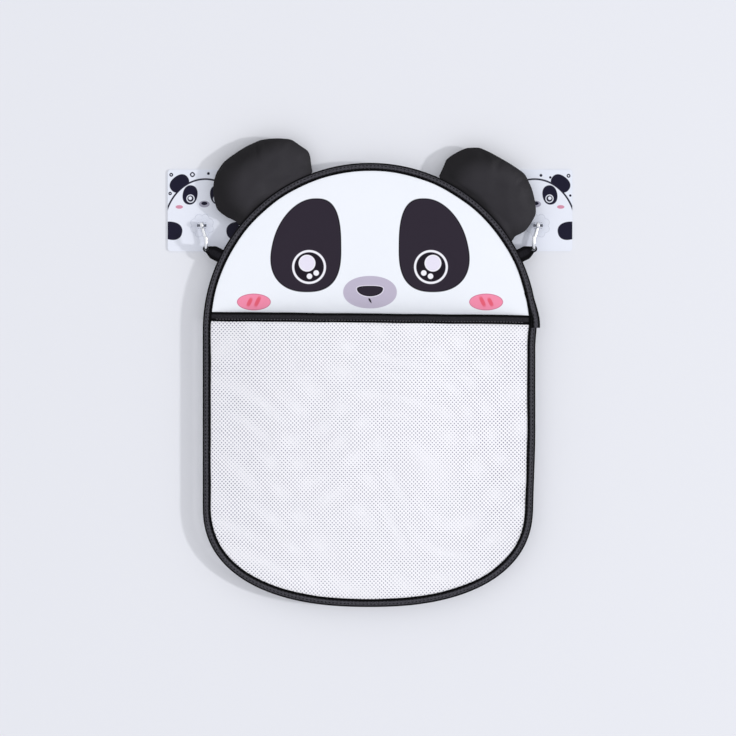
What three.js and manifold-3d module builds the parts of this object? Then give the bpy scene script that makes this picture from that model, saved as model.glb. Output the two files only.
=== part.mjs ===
// Hanging bath toy organizer: a panda-faced net bag on two adhesive wall hooks.
// Millimetres. +Z is up, the wall is the plane y = 0 and the front faces -Y.
// The origin lies on the wall, midway between the two patches, at the height of their centres.
import * as THREE from 'three';
import { mergeVertices } from 'three/addons/utils/BufferGeometryUtils.js';
import Module from 'manifold-3d';

const wasm = await Module();
wasm.setup();

// Gap kept between neighbouring pieces
const FIT = 0.3;

// Wall patches
const PATCH_WIDTH = 70;
const PATCH_HEIGHT = 80;
const PATCH_CORNER = 3;
const ADHESIVE_THICKNESS = 0.5;
const FILM_THICKNESS = 0.5;

// Moulded hook bases: a petalled disc with two lugs for the pin
const BASE_RADIUS = 11.3;
const BASE_THICKNESS = 2;
const PETALS = 8;
const PETAL_NOTCH = 1.4;
const LUG_THICKNESS = 1.6;
const LUG_RADIUS = 3;
const LUG_ROOT = 0.5;
const PIN_RADIUS = 1.2;
const PIN_OVERHANG = 0.5;
const PIN_SIDE_OFFSET = 1.3;
const PIN_BELOW_PATCH_CENTRE = 15;

// Wire hooks: an eye on the pin, a shank that leans inwards, a U bend and a short front leg
const WIRE_RADIUS = 1.5;
const HOOK_SIDE_PLAY = 1;
const EYE_WALL = 1.9;
const EYE_LIFT = 0.6;
const HOOK_BEND_RADIUS = 6.5;
const HOOK_DROP = 23;
const HOOK_LEAN = 4.5;
const HOOK_TIP_RISE = 11;

// Webbing loops, folded over the wire and sewn to the edge of the bag
const LOOP_ANGLE = 26.4;
const LOOP_REACH = 15.2;
const LOOP_WIDTH = 12.5;
const LOOP_WIDTH_ON_WIRE = 5;
const LOOP_PLY = 0.9;
const LOOP_PLY_GAP = 0.5;
const LOOP_WIRE_GAP = 1;
const LOOP_SPREAD = 7;
const LOOP_TWIST_END = 4;

// Bag outline from the front: a half circle, straight sides and a rounded bottom
const BAG_RADIUS = 164;
const BAG_SIDE = 171.4;
const BAG_BOTTOM = 100;
const BAG_BOTTOM_POWER = 2.35;

// Cloth layers and tapes
const TAPE_THICKNESS = 0.6;
const BINDING_WIDTH = 8;
const LAP_START_ANGLE = 0.7;
const LAP_END_ANGLE = 13.8;
const LINING_THICKNESS = 0.4;
const FOAM_THICKNESS = 0.8;
const PANEL_THICKNESS = 0.4;
const NET_THICKNESS = 0.4;

// Pocket mouth, above the centre of the half circle, and the pocket's forward bow
const MOUTH_RISE = 16.3;
const MOUTH_BINDING_HEIGHT = 9.2;
const NET_SEAM_RISE = 8;
const POCKET_BOW = 14;

// Padded ears, an egg outline set on the half circle
const EAR_HALF_WIDTH = 53.4;
const EAR_UPPER = 40;
const EAR_LOWER = 29;
const EAR_WAIST = 12;
const EAR_POWER = 2.2;
const EAR_PLY = 0.5;
const EAR_CROWN = 3.2;
const EAR_PADDING_SHARE = 0.9;
const LEFT_EAR_FROM_LOOP = 27;
const RIGHT_EAR_FROM_LOOP = 10.4;

// Fineness of the facets
const ARC_STEPS = 44;
const BOTTOM_STEPS = 36;
const CORNER_STEPS = 4;
const LAP_STEPS = 4;
const PETAL_STEPS = 6;
const ROUND_STEPS = 16;
const WIRE_SIDES = 8;
const WIRE_STEPS = 24;
const BEND_POINTS = 6;
const LOOP_STEPS = 20;
const LOOP_COLUMNS = 4;
const LOOP_TURN_STEPS = 8;
const NET_COLUMNS = 20;
const NET_ROWS = 10;
const EAR_STEPS = 28;
const EAR_BASE_STEPS = 8;
const EAR_RINGS = 4;
const HALVINGS = 40;

// Distances from the wall
const FILM_FRONT = ADHESIVE_THICKNESS + FILM_THICKNESS;
const BASE_FRONT = FILM_FRONT + BASE_THICKNESS;
const EYE_BORE = PIN_RADIUS + FIT;
const EYE_RADIUS = EYE_BORE + EYE_WALL;
const PIN_OUT = BASE_FRONT + EYE_LIFT + EYE_RADIUS;
const BAG_OUT = PIN_OUT + HOOK_BEND_RADIUS;
const STACK = LINING_THICKNESS + FOAM_THICKNESS + PANEL_THICKNESS + 2 * FIT;
const LINING_BACK = BAG_OUT - STACK / 2;
const FOAM_BACK = LINING_BACK + LINING_THICKNESS + FIT;
const PANEL_BACK = FOAM_BACK + FOAM_THICKNESS + FIT;
const SLOT = STACK + 2 * FIT;
const SLOT_BACK = LINING_BACK - FIT;
const BINDING_THICKNESS = SLOT + 2 * TAPE_THICKNESS;
const BINDING_BACK = SLOT_BACK - TAPE_THICKNESS;
const NET_OUT = PANEL_BACK + PANEL_THICKNESS - NET_THICKNESS / 2;
const MOUTH_SLOT = NET_THICKNESS + 2 * FIT;

// Places across and up, worked out from the loops outwards to the patches
const LOOP_TURN = THREE.MathUtils.degToRad(LOOP_ANGLE);
const WIRE_FROM_ARC = BAG_RADIUS + LOOP_REACH;
const PIN_Z = -PIN_BELOW_PATCH_CENTRE;
const WIRE_X = WIRE_FROM_ARC * Math.cos(LOOP_TURN);
const PIN_X = WIRE_X + HOOK_LEAN;
const PATCH_X = PIN_X - PIN_SIDE_OFFSET;
const ARC_Z = PIN_Z - HOOK_DROP - WIRE_FROM_ARC * Math.sin(LOOP_TURN);
const BOTTOM_Z = ARC_Z - BAG_SIDE;
const MOUTH_TOP = ARC_Z + MOUTH_RISE;
const NET_TOP = MOUTH_TOP - TAPE_THICKNESS - FIT;
const PANEL_INSET = TAPE_THICKNESS + FIT;
const LUG_INNER = WIRE_RADIUS + HOOK_SIDE_PLAY;
const LUG_OUTER = LUG_INNER + LUG_THICKNESS;

const finish = (color, roughness, metalness = 0) =>
  new THREE.MeshStandardMaterial({ color, roughness, metalness });
const FINISHES = {
  adhesive: finish('#e9eef2', 0.35),
  film: finish('#e6eaf6', 0.25),
  clear: finish('#eef2f5', 0.12),
  steel: finish('#c9ccd0', 0.22, 1),
  webbing: finish('#19181b', 0.75),
  tape: finish('#1d1b20', 0.7),
  face: finish('#f3f6fd', 0.6),
  foam: finish('#f6f6f4', 0.9),
  net: finish('#f4f5f9', 0.7),
  ear: finish('#1b191e', 0.5),
};

// Turns a shape to face the front: its Y goes up and its depth comes off the wall.
const FACING_FRONT = new THREE.Matrix4().set(1, 0, 0, 0, 0, 0, -1, 0, 0, 1, 0, 0, 0, 0, 0, 1);
// Turns a shape sideways: its X goes up, its Y comes off the wall and its depth runs along X.
const FACING_SIDE = new THREE.Matrix4().set(0, 0, 1, 0, 0, -1, 0, 0, 1, 0, 0, 0, 0, 0, 0, 1);

const powered = (value, power) => Math.sign(value) * Math.abs(value) ** (2 / power);
const spread = (count, from, to) =>
  Array.from({ length: count + 1 }, (_, i) => from + ((to - from) * i) / count);
const at = (x, out, z) => new THREE.Vector3(x, -out, z);

function solid(geometry) {
  const bare = geometry.clone();
  bare.deleteAttribute('normal');
  bare.deleteAttribute('uv');
  const merged = mergeVertices(bare);
  const vertProperties = new Float32Array(merged.attributes.position.array);
  const triVerts = new Uint32Array(merged.index.array);
  return new wasm.Manifold(new wasm.Mesh({ numProp: 3, vertProperties, triVerts }));
}

function geometryOf(body) {
  const { vertProperties, triVerts } = body.getMesh();
  const geometry = new THREE.BufferGeometry();
  geometry.setAttribute('position', new THREE.BufferAttribute(vertProperties, 3));
  geometry.setIndex(new THREE.BufferAttribute(triVerts, 1));
  geometry.computeVertexNormals();
  return geometry;
}

// A flat plate of the given shape whose back face lies at a distance from the wall.
function plate(shape, back, thickness) {
  const flat = new THREE.ExtrudeGeometry(shape, { depth: thickness, bevelEnabled: false });
  return flat.translate(0, 0, back).applyMatrix4(FACING_FRONT);
}

// A round bar along X through the origin.
function crossBar(radius, length) {
  return new THREE.CylinderGeometry(radius, radius, length, ROUND_STEPS).rotateZ(Math.PI / 2);
}

// A closed body from points and triangles, turned right side out by the sign of its volume.
function closedBody(points, triangles) {
  const normal = new THREE.Vector3();
  let volume = 0;
  for (const [i, j, k] of triangles) {
    volume += points[i].dot(normal.crossVectors(points[j], points[k]));
  }
  const facing = volume < 0 ? triangles.map(([i, j, k]) => [i, k, j]) : triangles;
  const body = new THREE.BufferGeometry().setFromPoints(points);
  body.setIndex(facing.flat());
  body.computeVertexNormals();
  return body;
}

// Joins a front and a back sheet of matching points along the loop of points on their border.
function twoSided(front, back, frontTriangles, border) {
  const shift = front.length;
  const triangles = [...frontTriangles];
  for (const [i, j, k] of frontTriangles) {
    triangles.push([shift + i, shift + k, shift + j]);
  }
  border.forEach((near, index) => {
    const next = border[(index + 1) % border.length];
    triangles.push([next, near, shift + near], [next, shift + near, shift + next]);
  });
  return closedBody([...front, ...back], triangles);
}

// A thin sheet over a grid of columns and rows.
function gridSheet(front, back, columns, rows) {
  const id = (column, row) => column * rows + row;
  const triangles = [];
  for (let c = 0; c < columns - 1; c += 1) {
    for (let r = 0; r < rows - 1; r += 1) {
      triangles.push([id(c, r), id(c + 1, r), id(c + 1, r + 1)]);
      triangles.push([id(c, r), id(c + 1, r + 1), id(c, r + 1)]);
    }
  }
  const border = [];
  for (let c = 0; c < columns - 1; c += 1) border.push(id(c, 0));
  for (let r = 0; r < rows - 1; r += 1) border.push(id(columns - 1, r));
  for (let c = columns - 1; c > 0; c -= 1) border.push(id(c, rows - 1));
  for (let r = rows - 1; r > 0; r -= 1) border.push(id(0, r));
  return twoSided(front, back, triangles, border);
}

// A body through a row of closed sections with equal point counts, capped at both ends.
function loft(sections, capOutline) {
  const count = sections[0].length;
  const last = (sections.length - 1) * count;
  const triangles = [];
  for (let row = 0; row < last; row += count) {
    for (let i = 0; i < count; i += 1) {
      const near = row + i;
      const next = row + ((i + 1) % count);
      triangles.push([near, next, near + count], [next, next + count, near + count]);
    }
  }
  const { area } = THREE.ShapeUtils;
  for (const [i, j, k] of THREE.ShapeUtils.triangulateShape(capOutline, [])) {
    const turned = area([capOutline[i], capOutline[j], capOutline[k]]) * area(capOutline) < 0;
    const [p, q] = turned ? [k, j] : [j, k];
    triangles.push([i, q, p], [last + i, last + p, last + q]);
  }
  return closedBody(sections.flat(), triangles);
}

// Half the bag's width at a height, for an outline drawn in by an inset.
function halfWidthAt(z, inset) {
  const radius = BAG_RADIUS - inset;
  return z > ARC_Z ? Math.sqrt(radius ** 2 - (z - ARC_Z) ** 2) : radius;
}

// Height of the rounded bottom below a place across the bag, for an outline drawn in by an inset.
function bottomAt(x, inset) {
  const across = Math.min(1, Math.abs(x) / (BAG_RADIUS - inset));
  return BOTTOM_Z - (BAG_BOTTOM - inset) * (1 - across ** BAG_BOTTOM_POWER) ** (1 / BAG_BOTTOM_POWER);
}

// The bag's whole outline drawn in by an inset, as points in anticlockwise order.
function bagOutline(inset) {
  const radius = BAG_RADIUS - inset;
  const arc = spread(ARC_STEPS, 0, Math.PI).map(
    (turn) => new THREE.Vector2(radius * Math.cos(turn), ARC_Z + radius * Math.sin(turn)),
  );
  const bottom = spread(BOTTOM_STEPS, Math.PI, 2 * Math.PI).map(
    (turn) => new THREE.Vector2(
      radius * powered(Math.cos(turn), BAG_BOTTOM_POWER),
      BOTTOM_Z + (BAG_BOTTOM - inset) * powered(Math.sin(turn), BAG_BOTTOM_POWER),
    ),
  );
  return [...arc, ...bottom];
}

// The part of an outline on one side of a level: sense 1 keeps what is above it, -1 what is below.
function clipped(outline, level, sense) {
  const kept = [];
  outline.forEach((point, index) => {
    const next = outline[(index + 1) % outline.length];
    const inside = (point.y - level) * sense >= 0;
    if (inside) kept.push(point);
    if (inside !== (next.y - level) * sense >= 0) {
      kept.push(point.clone().lerp(next, (level - point.y) / (next.y - point.y)));
    }
  });
  return new THREE.Shape(kept);
}

// The pocket's forward bow: none at its sides and bottom, the most at the middle of its mouth.
function pocketBow(x, z) {
  const across = Math.min(1, Math.abs(x) / POCKET_HALF_WIDTH);
  const low = bottomAt(x, BINDING_WIDTH + FIT);
  const up = THREE.MathUtils.clamp((z - low) / (NET_TOP - low), 0, 1);
  return POCKET_BOW * (1 - across ** 2) * Math.sin((up * Math.PI) / 2);
}

const POCKET_HALF_WIDTH = halfWidthAt(MOUTH_TOP, BINDING_WIDTH) - FIT;
const POCKET_COLUMNS = spread(NET_COLUMNS, -1, 1).map(
  (share) => POCKET_HALF_WIDTH * Math.sin((share * Math.PI) / 2),
);

const organizer = new THREE.Group();

function add(parent, name, geometry, material) {
  const mesh = new THREE.Mesh(geometry, material);
  mesh.name = name;
  parent.add(mesh);
}

function groupAt(x, out, z, turn = 0) {
  const group = new THREE.Group();
  group.position.copy(at(x, out, z));
  group.rotation.y = turn;
  organizer.add(group);
  return group;
}

function patchShape() {
  const [w, h, r] = [PATCH_WIDTH / 2, PATCH_HEIGHT / 2, PATCH_CORNER];
  const shape = new THREE.Shape();
  shape.moveTo(r - w, -h);
  shape.absarc(w - r, r - h, r, -Math.PI / 2, 0);
  shape.absarc(w - r, h - r, r, 0, Math.PI / 2);
  shape.absarc(r - w, h - r, r, Math.PI / 2, Math.PI);
  shape.absarc(r - w, r - h, r, Math.PI, 1.5 * Math.PI);
  return new THREE.Shape(shape.getPoints(CORNER_STEPS).slice(1));
}

function addPatch(side, name) {
  const group = groupAt(side * PATCH_X, 0, 0);
  const adhesive = plate(patchShape(), 0, ADHESIVE_THICKNESS);
  const film = plate(patchShape(), ADHESIVE_THICKNESS, FILM_THICKNESS);
  add(group, `${name}_adhesive_pad`, adhesive, FINISHES.adhesive);
  add(group, `${name}_patch_film`, film, FINISHES.film);
}

function rosetteShape() {
  const turns = spread(PETALS * PETAL_STEPS, 0, 2 * Math.PI).slice(1);
  return new THREE.Shape(turns.map((turn) => {
    const dip = 1 - Math.abs(Math.sin((turn * PETALS) / 2));
    const reach = BASE_RADIUS - PETAL_NOTCH * dip;
    return new THREE.Vector2(reach * Math.cos(turn), reach * Math.sin(turn));
  }));
}

// One lug, round about the pin, rooted in the disc.
function lug(start) {
  const shape = new THREE.Shape();
  shape.moveTo(LUG_RADIUS, BASE_FRONT - LUG_ROOT);
  shape.lineTo(LUG_RADIUS, PIN_OUT);
  shape.absarc(0, PIN_OUT, LUG_RADIUS, 0, Math.PI);
  shape.lineTo(-LUG_RADIUS, BASE_FRONT - LUG_ROOT);
  const outline = { depth: LUG_THICKNESS, bevelEnabled: false, curveSegments: ROUND_STEPS / 2 };
  const flat = new THREE.ExtrudeGeometry(shape, outline);
  return solid(flat.translate(0, 0, start).applyMatrix4(FACING_SIDE));
}

function hookBase() {
  const bore = crossBar(PIN_RADIUS + FIT, 3 * LUG_OUTER).translate(0, -PIN_OUT, 0);
  const disc = solid(plate(rosetteShape(), FILM_FRONT, BASE_THICKNESS));
  return geometryOf(disc.add(lug(LUG_INNER)).add(lug(-LUG_OUTER)).subtract(solid(bore)));
}

// The wire's middle line from the pin down the leaning shank, round the bend and up the front leg.
function hookPath(side) {
  const lean = -side * HOOK_LEAN;
  const bendZ = HOOK_BEND_RADIUS - HOOK_DROP;
  const bend = spread(BEND_POINTS, Math.PI, 2 * Math.PI).map((turn) => at(
    lean,
    HOOK_BEND_RADIUS * (1 + Math.cos(turn)),
    bendZ + HOOK_BEND_RADIUS * Math.sin(turn),
  ));
  const tip = at(lean, 2 * HOOK_BEND_RADIUS, HOOK_TIP_RISE - HOOK_DROP);
  const points = [at(0, 0, 0), at(lean / 2, 0, bendZ / 2), ...bend, tip];
  return new THREE.CatmullRomCurve3(points, false, 'centripetal');
}

function wireHook(side) {
  const section = new THREE.Shape().absarc(0, 0, WIRE_RADIUS, 0, 2 * Math.PI);
  const ring = new THREE.Shape(section.getSpacedPoints(WIRE_SIDES).slice(1));
  const path = hookPath(side);
  const along = { steps: WIRE_STEPS, extrudePath: path, bevelEnabled: false };
  const wire = new THREE.ExtrudeGeometry(ring, along);
  const tip = new THREE.SphereGeometry(WIRE_RADIUS, WIRE_SIDES, CORNER_STEPS * 2);
  tip.translate(...path.getPoint(1).toArray());
  const eye = solid(crossBar(EYE_RADIUS, 2 * WIRE_RADIUS));
  const bore = solid(crossBar(EYE_BORE, 4 * WIRE_RADIUS));
  return geometryOf(eye.add(solid(wire)).add(solid(tip)).subtract(bore));
}

function addHook(side, name) {
  const group = groupAt(side * PIN_X, 0, PIN_Z);
  add(group, `${name}_hook_base`, hookBase(), FINISHES.clear);
  const turning = groupAt(side * PIN_X, PIN_OUT, PIN_Z);
  add(turning, `${name}_hook_pin`, crossBar(PIN_RADIUS, 2 * (LUG_OUTER + PIN_OVERHANG)), FINISHES.steel);
  add(turning, `${name}_hook`, wireHook(side), FINISHES.steel);
}

// Places round a cross section of the webbing, as shares of its half width and of half its ply. The width
// is split into columns, so that the facets of the twisted plies stay clear of each other.
const WEBBING_RING = [
  ...spread(LOOP_COLUMNS, -1, 1).map((across) => [across, -1]),
  ...spread(LOOP_COLUMNS, 1, -1).map((across) => [across, 1]),
];

// One cross section of the webbing: a middle point, its way across the width and through the ply.
function webbingSection(middle, across, through, halfWidth) {
  return WEBBING_RING.map(([a, b]) => middle.clone().addScaledVector(across, a * halfWidth)
    .addScaledVector(through, (b * LOOP_PLY) / 2));
}

// A section of one ply at a distance out from the arc's centre; both plies twist and spread together.
function plySection(reach, ply) {
  const base = BAG_RADIUS + FIT;
  const { smoothstep } = THREE.MathUtils;
  const onWire = smoothstep(reach, base, WIRE_FROM_ARC - LOOP_TWIST_END);
  const turn = ((1 - onWire) * Math.PI) / 2;
  const open = smoothstep(reach, WIRE_FROM_ARC - LOOP_SPREAD, WIRE_FROM_ARC);
  const apart = THREE.MathUtils.lerp(LOOP_PLY_GAP / 2, WIRE_RADIUS + LOOP_WIRE_GAP, open) + LOOP_PLY / 2;
  const through = new THREE.Vector3(Math.cos(turn), Math.sin(turn), 0).multiplyScalar(ply);
  const across = new THREE.Vector3(-Math.sin(turn), Math.cos(turn), 0);
  const middle = new THREE.Vector3(0, 0, reach).addScaledVector(through, apart);
  const width = THREE.MathUtils.lerp(LOOP_WIDTH, LOOP_WIDTH_ON_WIRE, onWire);
  return webbingSection(middle, across, through, width / 2);
}

// A section where the webbing turns over the wire.
function turnSection(turn) {
  const through = new THREE.Vector3(Math.cos(turn), 0, Math.sin(turn));
  const middle = new THREE.Vector3(0, 0, WIRE_FROM_ARC)
    .addScaledVector(through, WIRE_RADIUS + LOOP_WIRE_GAP + LOOP_PLY / 2);
  return webbingSection(middle, new THREE.Vector3(0, 1, 0), through, LOOP_WIDTH_ON_WIRE / 2);
}

function webbingLoop() {
  const reaches = spread(LOOP_STEPS, BAG_RADIUS + FIT, WIRE_FROM_ARC);
  const turns = spread(LOOP_TURN_STEPS, 0, Math.PI).slice(1, -1);
  const sections = [
    ...reaches.map((reach) => plySection(reach, 1)),
    ...turns.map(turnSection),
    ...reaches.toReversed().map((reach) => plySection(reach, -1)),
  ];
  // The cap is drawn crowned, because the triangulation drops points that lie on a straight line.
  const cap = WEBBING_RING.map(([a, b]) => new THREE.Vector2(a, b * (2 - a ** 2)));
  return loft(sections, cap);
}

function addLoop(side, name) {
  const group = groupAt(0, BAG_OUT, ARC_Z, side * (Math.PI / 2 - LOOP_TURN));
  add(group, `${name}_loop`, webbingLoop(), FINISHES.webbing);
}

function addFace() {
  const face = clipped(bagOutline(PANEL_INSET), MOUTH_TOP + FIT, 1);
  const lining = clipped(bagOutline(PANEL_INSET), MOUTH_TOP + NET_SEAM_RISE + FIT, 1);
  add(organizer, 'face_panel', plate(face, PANEL_BACK, PANEL_THICKNESS), FINISHES.face);
  add(organizer, 'face_foam', plate(face, FOAM_BACK, FOAM_THICKNESS), FINISHES.foam);
  add(organizer, 'face_lining', plate(lining, LINING_BACK, LINING_THICKNESS), FINISHES.face);
}

function addBackNet() {
  const net = clipped(bagOutline(PANEL_INSET), MOUTH_TOP + NET_SEAM_RISE, -1);
  add(organizer, 'back_net', plate(net, LINING_BACK, NET_THICKNESS), FINISHES.net);
}

// The front net runs flat under the edge binding and bows forward inside it.
function addFrontNet() {
  const edge = halfWidthAt(NET_TOP, PANEL_INSET);
  const columns = [-edge, ...POCKET_COLUMNS, edge];
  const shares = spread(NET_ROWS, 0, 1);
  const sheet = (offset) => columns.flatMap((x) => {
    const low = bottomAt(x, BINDING_WIDTH + FIT);
    const heights = [bottomAt(x, PANEL_INSET), ...shares.map((share) => low + (NET_TOP - low) * share)];
    return heights.map((z) => at(x, NET_OUT + pocketBow(x, z) + offset, z));
  });
  const [half, rows] = [NET_THICKNESS / 2, NET_ROWS + 2];
  add(organizer, 'front_net', gridSheet(sheet(half), sheet(-half), columns.length, rows), FINISHES.net);
}

// The tape folded over the pocket's mouth, open below where it takes the net.
function addMouthBinding() {
  const [slot, half] = [MOUTH_SLOT / 2, MOUTH_SLOT / 2 + TAPE_THICKNESS];
  const [top, roof, low] = [MOUTH_TOP, MOUTH_TOP - TAPE_THICKNESS, MOUTH_TOP - MOUTH_BINDING_HEIGHT];
  const profile = [
    [-half, low], [-half, top], [half, top], [half, low],
    [slot, low], [slot, roof], [-slot, roof], [-slot, low],
  ];
  const sections = POCKET_COLUMNS.map((x) =>
    profile.map(([offset, z]) => at(x, NET_OUT + pocketBow(x, NET_TOP) + offset, z)));
  const cap = profile.map(([offset, z]) => new THREE.Vector2(offset, z));
  add(organizer, 'mouth_binding', loft(sections, cap), FINISHES.tape);
}

// A second layer of tape along a stretch of the half circle, where the tape's end laps its start.
function lapSector() {
  const [from, to] = [LAP_START_ANGLE, LAP_END_ANGLE].map(THREE.MathUtils.degToRad);
  const ring = (radius) => spread(LAP_STEPS, from, to).map(
    (turn) => new THREE.Vector2(radius * Math.cos(turn), ARC_Z + radius * Math.sin(turn)),
  );
  const shape = new THREE.Shape([
    ...ring(BAG_RADIUS + TAPE_THICKNESS),
    ...ring(BAG_RADIUS - BINDING_WIDTH).reverse(),
  ]);
  return solid(plate(shape, BINDING_BACK - TAPE_THICKNESS, BINDING_THICKNESS + 2 * TAPE_THICKNESS));
}

function addEdgeBinding() {
  const shape = new THREE.Shape(bagOutline(0));
  shape.holes.push(new THREE.Path(bagOutline(BINDING_WIDTH)));
  const ring = solid(plate(shape, BINDING_BACK, BINDING_THICKNESS));
  const slot = solid(plate(new THREE.Shape(bagOutline(TAPE_THICKNESS)), SLOT_BACK, SLOT));
  add(organizer, 'edge_binding', geometryOf(ring.add(lapSector()).subtract(slot)), FINISHES.tape);
}

// The ear's egg at a turn about its waist, in the plane of its own tangent and outward directions.
function eggPoint(turn) {
  const rise = Math.sin(turn) > 0 ? EAR_UPPER : EAR_LOWER;
  return new THREE.Vector2(
    EAR_HALF_WIDTH * powered(Math.cos(turn), EAR_POWER),
    EAR_WAIST + rise * powered(Math.sin(turn), EAR_POWER),
  );
}

// Height of the ear's sewn edge beside its middle, just outside the half circle.
const earSeam = (across) => Math.sqrt((BAG_RADIUS + FIT) ** 2 - across ** 2) - BAG_RADIUS;

// The turn below the waist at which the egg meets the half circle.
function eggBaseTurn() {
  let [low, high] = [-Math.PI / 2, 0];
  for (let step = 0; step < HALVINGS; step += 1) {
    const turn = (low + high) / 2;
    const point = eggPoint(turn);
    if (point.y > earSeam(point.x)) high = turn;
    else low = turn;
  }
  return high;
}

function earOutline() {
  const base = eggBaseTurn();
  const egg = spread(EAR_STEPS, base, Math.PI - base).map(eggPoint);
  const across = egg[0].x;
  const seam = spread(EAR_BASE_STEPS, -across, across).slice(1, -1);
  return [...egg, ...seam.map((x) => new THREE.Vector2(x, earSeam(x)))];
}

// A crowned sheet inside the ear's outline; each face is a height by its share of the way to the edge.
function crownedSheet(outline, reach, frontHeight, backHeight) {
  const middle = new THREE.Vector2(0, EAR_WAIST);
  const shares = spread(EAR_RINGS, 0, 1).slice(1).map((share) => share * reach);
  const face = (height) => [
    at(middle.x, height(0), middle.y),
    ...shares.flatMap((share) => outline.map((point) => {
      const place = middle.clone().lerp(point, share);
      return at(place.x, height(share), place.y);
    })),
  ];
  const count = outline.length;
  const id = (ring, index) => 1 + ring * count + (index % count);
  const triangles = [];
  for (let i = 0; i < count; i += 1) {
    triangles.push([0, id(0, i), id(0, i + 1)]);
    for (let ring = 0; ring < EAR_RINGS - 1; ring += 1) {
      triangles.push([id(ring, i), id(ring + 1, i), id(ring + 1, i + 1)]);
      triangles.push([id(ring, i), id(ring + 1, i + 1), id(ring, i + 1)]);
    }
  }
  const border = outline.map((_, index) => id(EAR_RINGS - 1, index));
  return twoSided(face(frontHeight), face(backHeight), triangles, border);
}

function addEar(side, name, fromLoop) {
  const turn = LOOP_TURN + (EAR_HALF_WIDTH + fromLoop) / BAG_RADIUS;
  const x = side * BAG_RADIUS * Math.cos(turn);
  const group = groupAt(x, BAG_OUT, ARC_Z + BAG_RADIUS * Math.sin(turn), side * (Math.PI / 2 - turn));
  const outline = earOutline();
  const inner = (share) => FIT / 2 + EAR_CROWN * (1 - share ** 2);
  const outer = (share) => inner(share) + EAR_PLY;
  const padding = (share) => inner(share) - FIT;
  const ply = (sign) => crownedSheet(outline, 1, (s) => sign * outer(s), (s) => sign * inner(s));
  add(group, `${name}_ear_front`, ply(1), FINISHES.ear);
  add(group, `${name}_ear_back`, ply(-1), FINISHES.ear);
  const core = crownedSheet(outline, EAR_PADDING_SHARE, padding, (share) => -padding(share));
  add(group, `${name}_ear_padding`, core, FINISHES.foam);
}

const SIDES = [
  { side: -1, name: 'left', earFromLoop: LEFT_EAR_FROM_LOOP },
  { side: 1, name: 'right', earFromLoop: RIGHT_EAR_FROM_LOOP },
];
for (const { side, name, earFromLoop } of SIDES) {
  addPatch(side, name);
  addHook(side, name);
  addLoop(side, name);
  addEar(side, name, earFromLoop);
}
addFace();
addBackNet();
addFrontNet();
addMouthBinding();
addEdgeBinding();

export default organizer;
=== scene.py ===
"""Dressed scene of a hanging bath toy organizer: a panda-faced net bag on two adhesive wall hooks.

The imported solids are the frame. Each class is one sub-assembly, and its surfaces are worked out with numpy
in millimetres: across the wall, out from it and up it. They go into meshes in metres.
"""

import logging
import math
from dataclasses import asdict, dataclass, fields, replace
from enum import Enum
from functools import cache
from typing import Sequence

import bmesh
import bpy
import numpy as np
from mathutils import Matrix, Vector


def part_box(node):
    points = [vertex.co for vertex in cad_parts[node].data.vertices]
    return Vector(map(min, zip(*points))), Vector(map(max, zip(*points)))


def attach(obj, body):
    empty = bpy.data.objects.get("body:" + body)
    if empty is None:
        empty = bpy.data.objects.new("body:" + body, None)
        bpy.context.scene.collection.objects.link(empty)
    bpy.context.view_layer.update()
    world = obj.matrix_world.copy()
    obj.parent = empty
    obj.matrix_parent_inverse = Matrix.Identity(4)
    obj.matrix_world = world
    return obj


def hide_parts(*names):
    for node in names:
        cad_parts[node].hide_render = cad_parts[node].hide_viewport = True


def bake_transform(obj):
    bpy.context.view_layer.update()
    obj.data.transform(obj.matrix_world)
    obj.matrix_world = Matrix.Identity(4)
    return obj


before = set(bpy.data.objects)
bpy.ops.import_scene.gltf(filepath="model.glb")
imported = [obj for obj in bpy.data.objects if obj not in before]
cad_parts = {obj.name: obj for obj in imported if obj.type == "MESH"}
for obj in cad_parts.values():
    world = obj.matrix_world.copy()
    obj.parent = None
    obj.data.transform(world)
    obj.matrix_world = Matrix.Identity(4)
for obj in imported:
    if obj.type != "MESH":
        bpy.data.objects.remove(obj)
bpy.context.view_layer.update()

LOG = logging.getLogger("bath_toy_organizer")
MM = 0.001
WELD = 0.001
ORIGIN = (0.0, 0.0, 0.0)
NUMBER, COLOUR = "NodeSocketFloat", "NodeSocketColor"

Array = np.ndarray
Object = bpy.types.Object
Socket = bpy.types.NodeSocket
Node = bpy.types.Node
Tree = bpy.types.NodeTree
Outputs = bpy.types.NodeOutputs
Value = float | tuple[float, ...] | Socket
Inputs = dict[str | int, Value]
Pair = tuple[float, float]
Triple = tuple[float, float, float]


class Side(Enum):
    """The viewer's left or right, with its sign along X."""

    LEFT = -1
    RIGHT = 1

    @property
    def word(self) -> str:
        """The side's name as the nodes and bodies spell it."""
        return self.name.lower()


class Pattern(Enum):
    """What a finish's pattern follows: the object's own axes or the piece's UV map, both in millimetres."""

    AXES = "Object"
    MAP = "UV"


# Shapes


def linear(code: str) -> tuple[float, float, float, float]:
    """Linear colour and an alpha of one, from a hex code as a screen shows it."""
    parts = (int(code[i:i + 2], 16) / 255 for i in (1, 3, 5))
    return *(p / 12.92 if p <= 0.04045 else ((p + 0.055) / 1.055) ** 2.4 for p in parts), 1.0


def ease(value: Array, low: float, high: float) -> Array:
    """Smooth step from zero at low to one at high, 3t^2 - 2t^3 of the clamped share t of the way."""
    share = np.clip((value - low) / (high - low), 0.0, 1.0)
    return share * share * (3.0 - 2.0 * share)


def powered(value: Array, power: float) -> Array:
    """A superellipse's cosine or sine: the value's size to the power 2 / power, with its sign kept."""
    return np.sign(value) * np.abs(value) ** (2.0 / power)


def joined(*parts: Array | float) -> Array:
    """Coordinates side by side in a new last axis, with plain numbers repeated."""
    return np.stack(np.broadcast_arrays(*parts), axis=-1)


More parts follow.
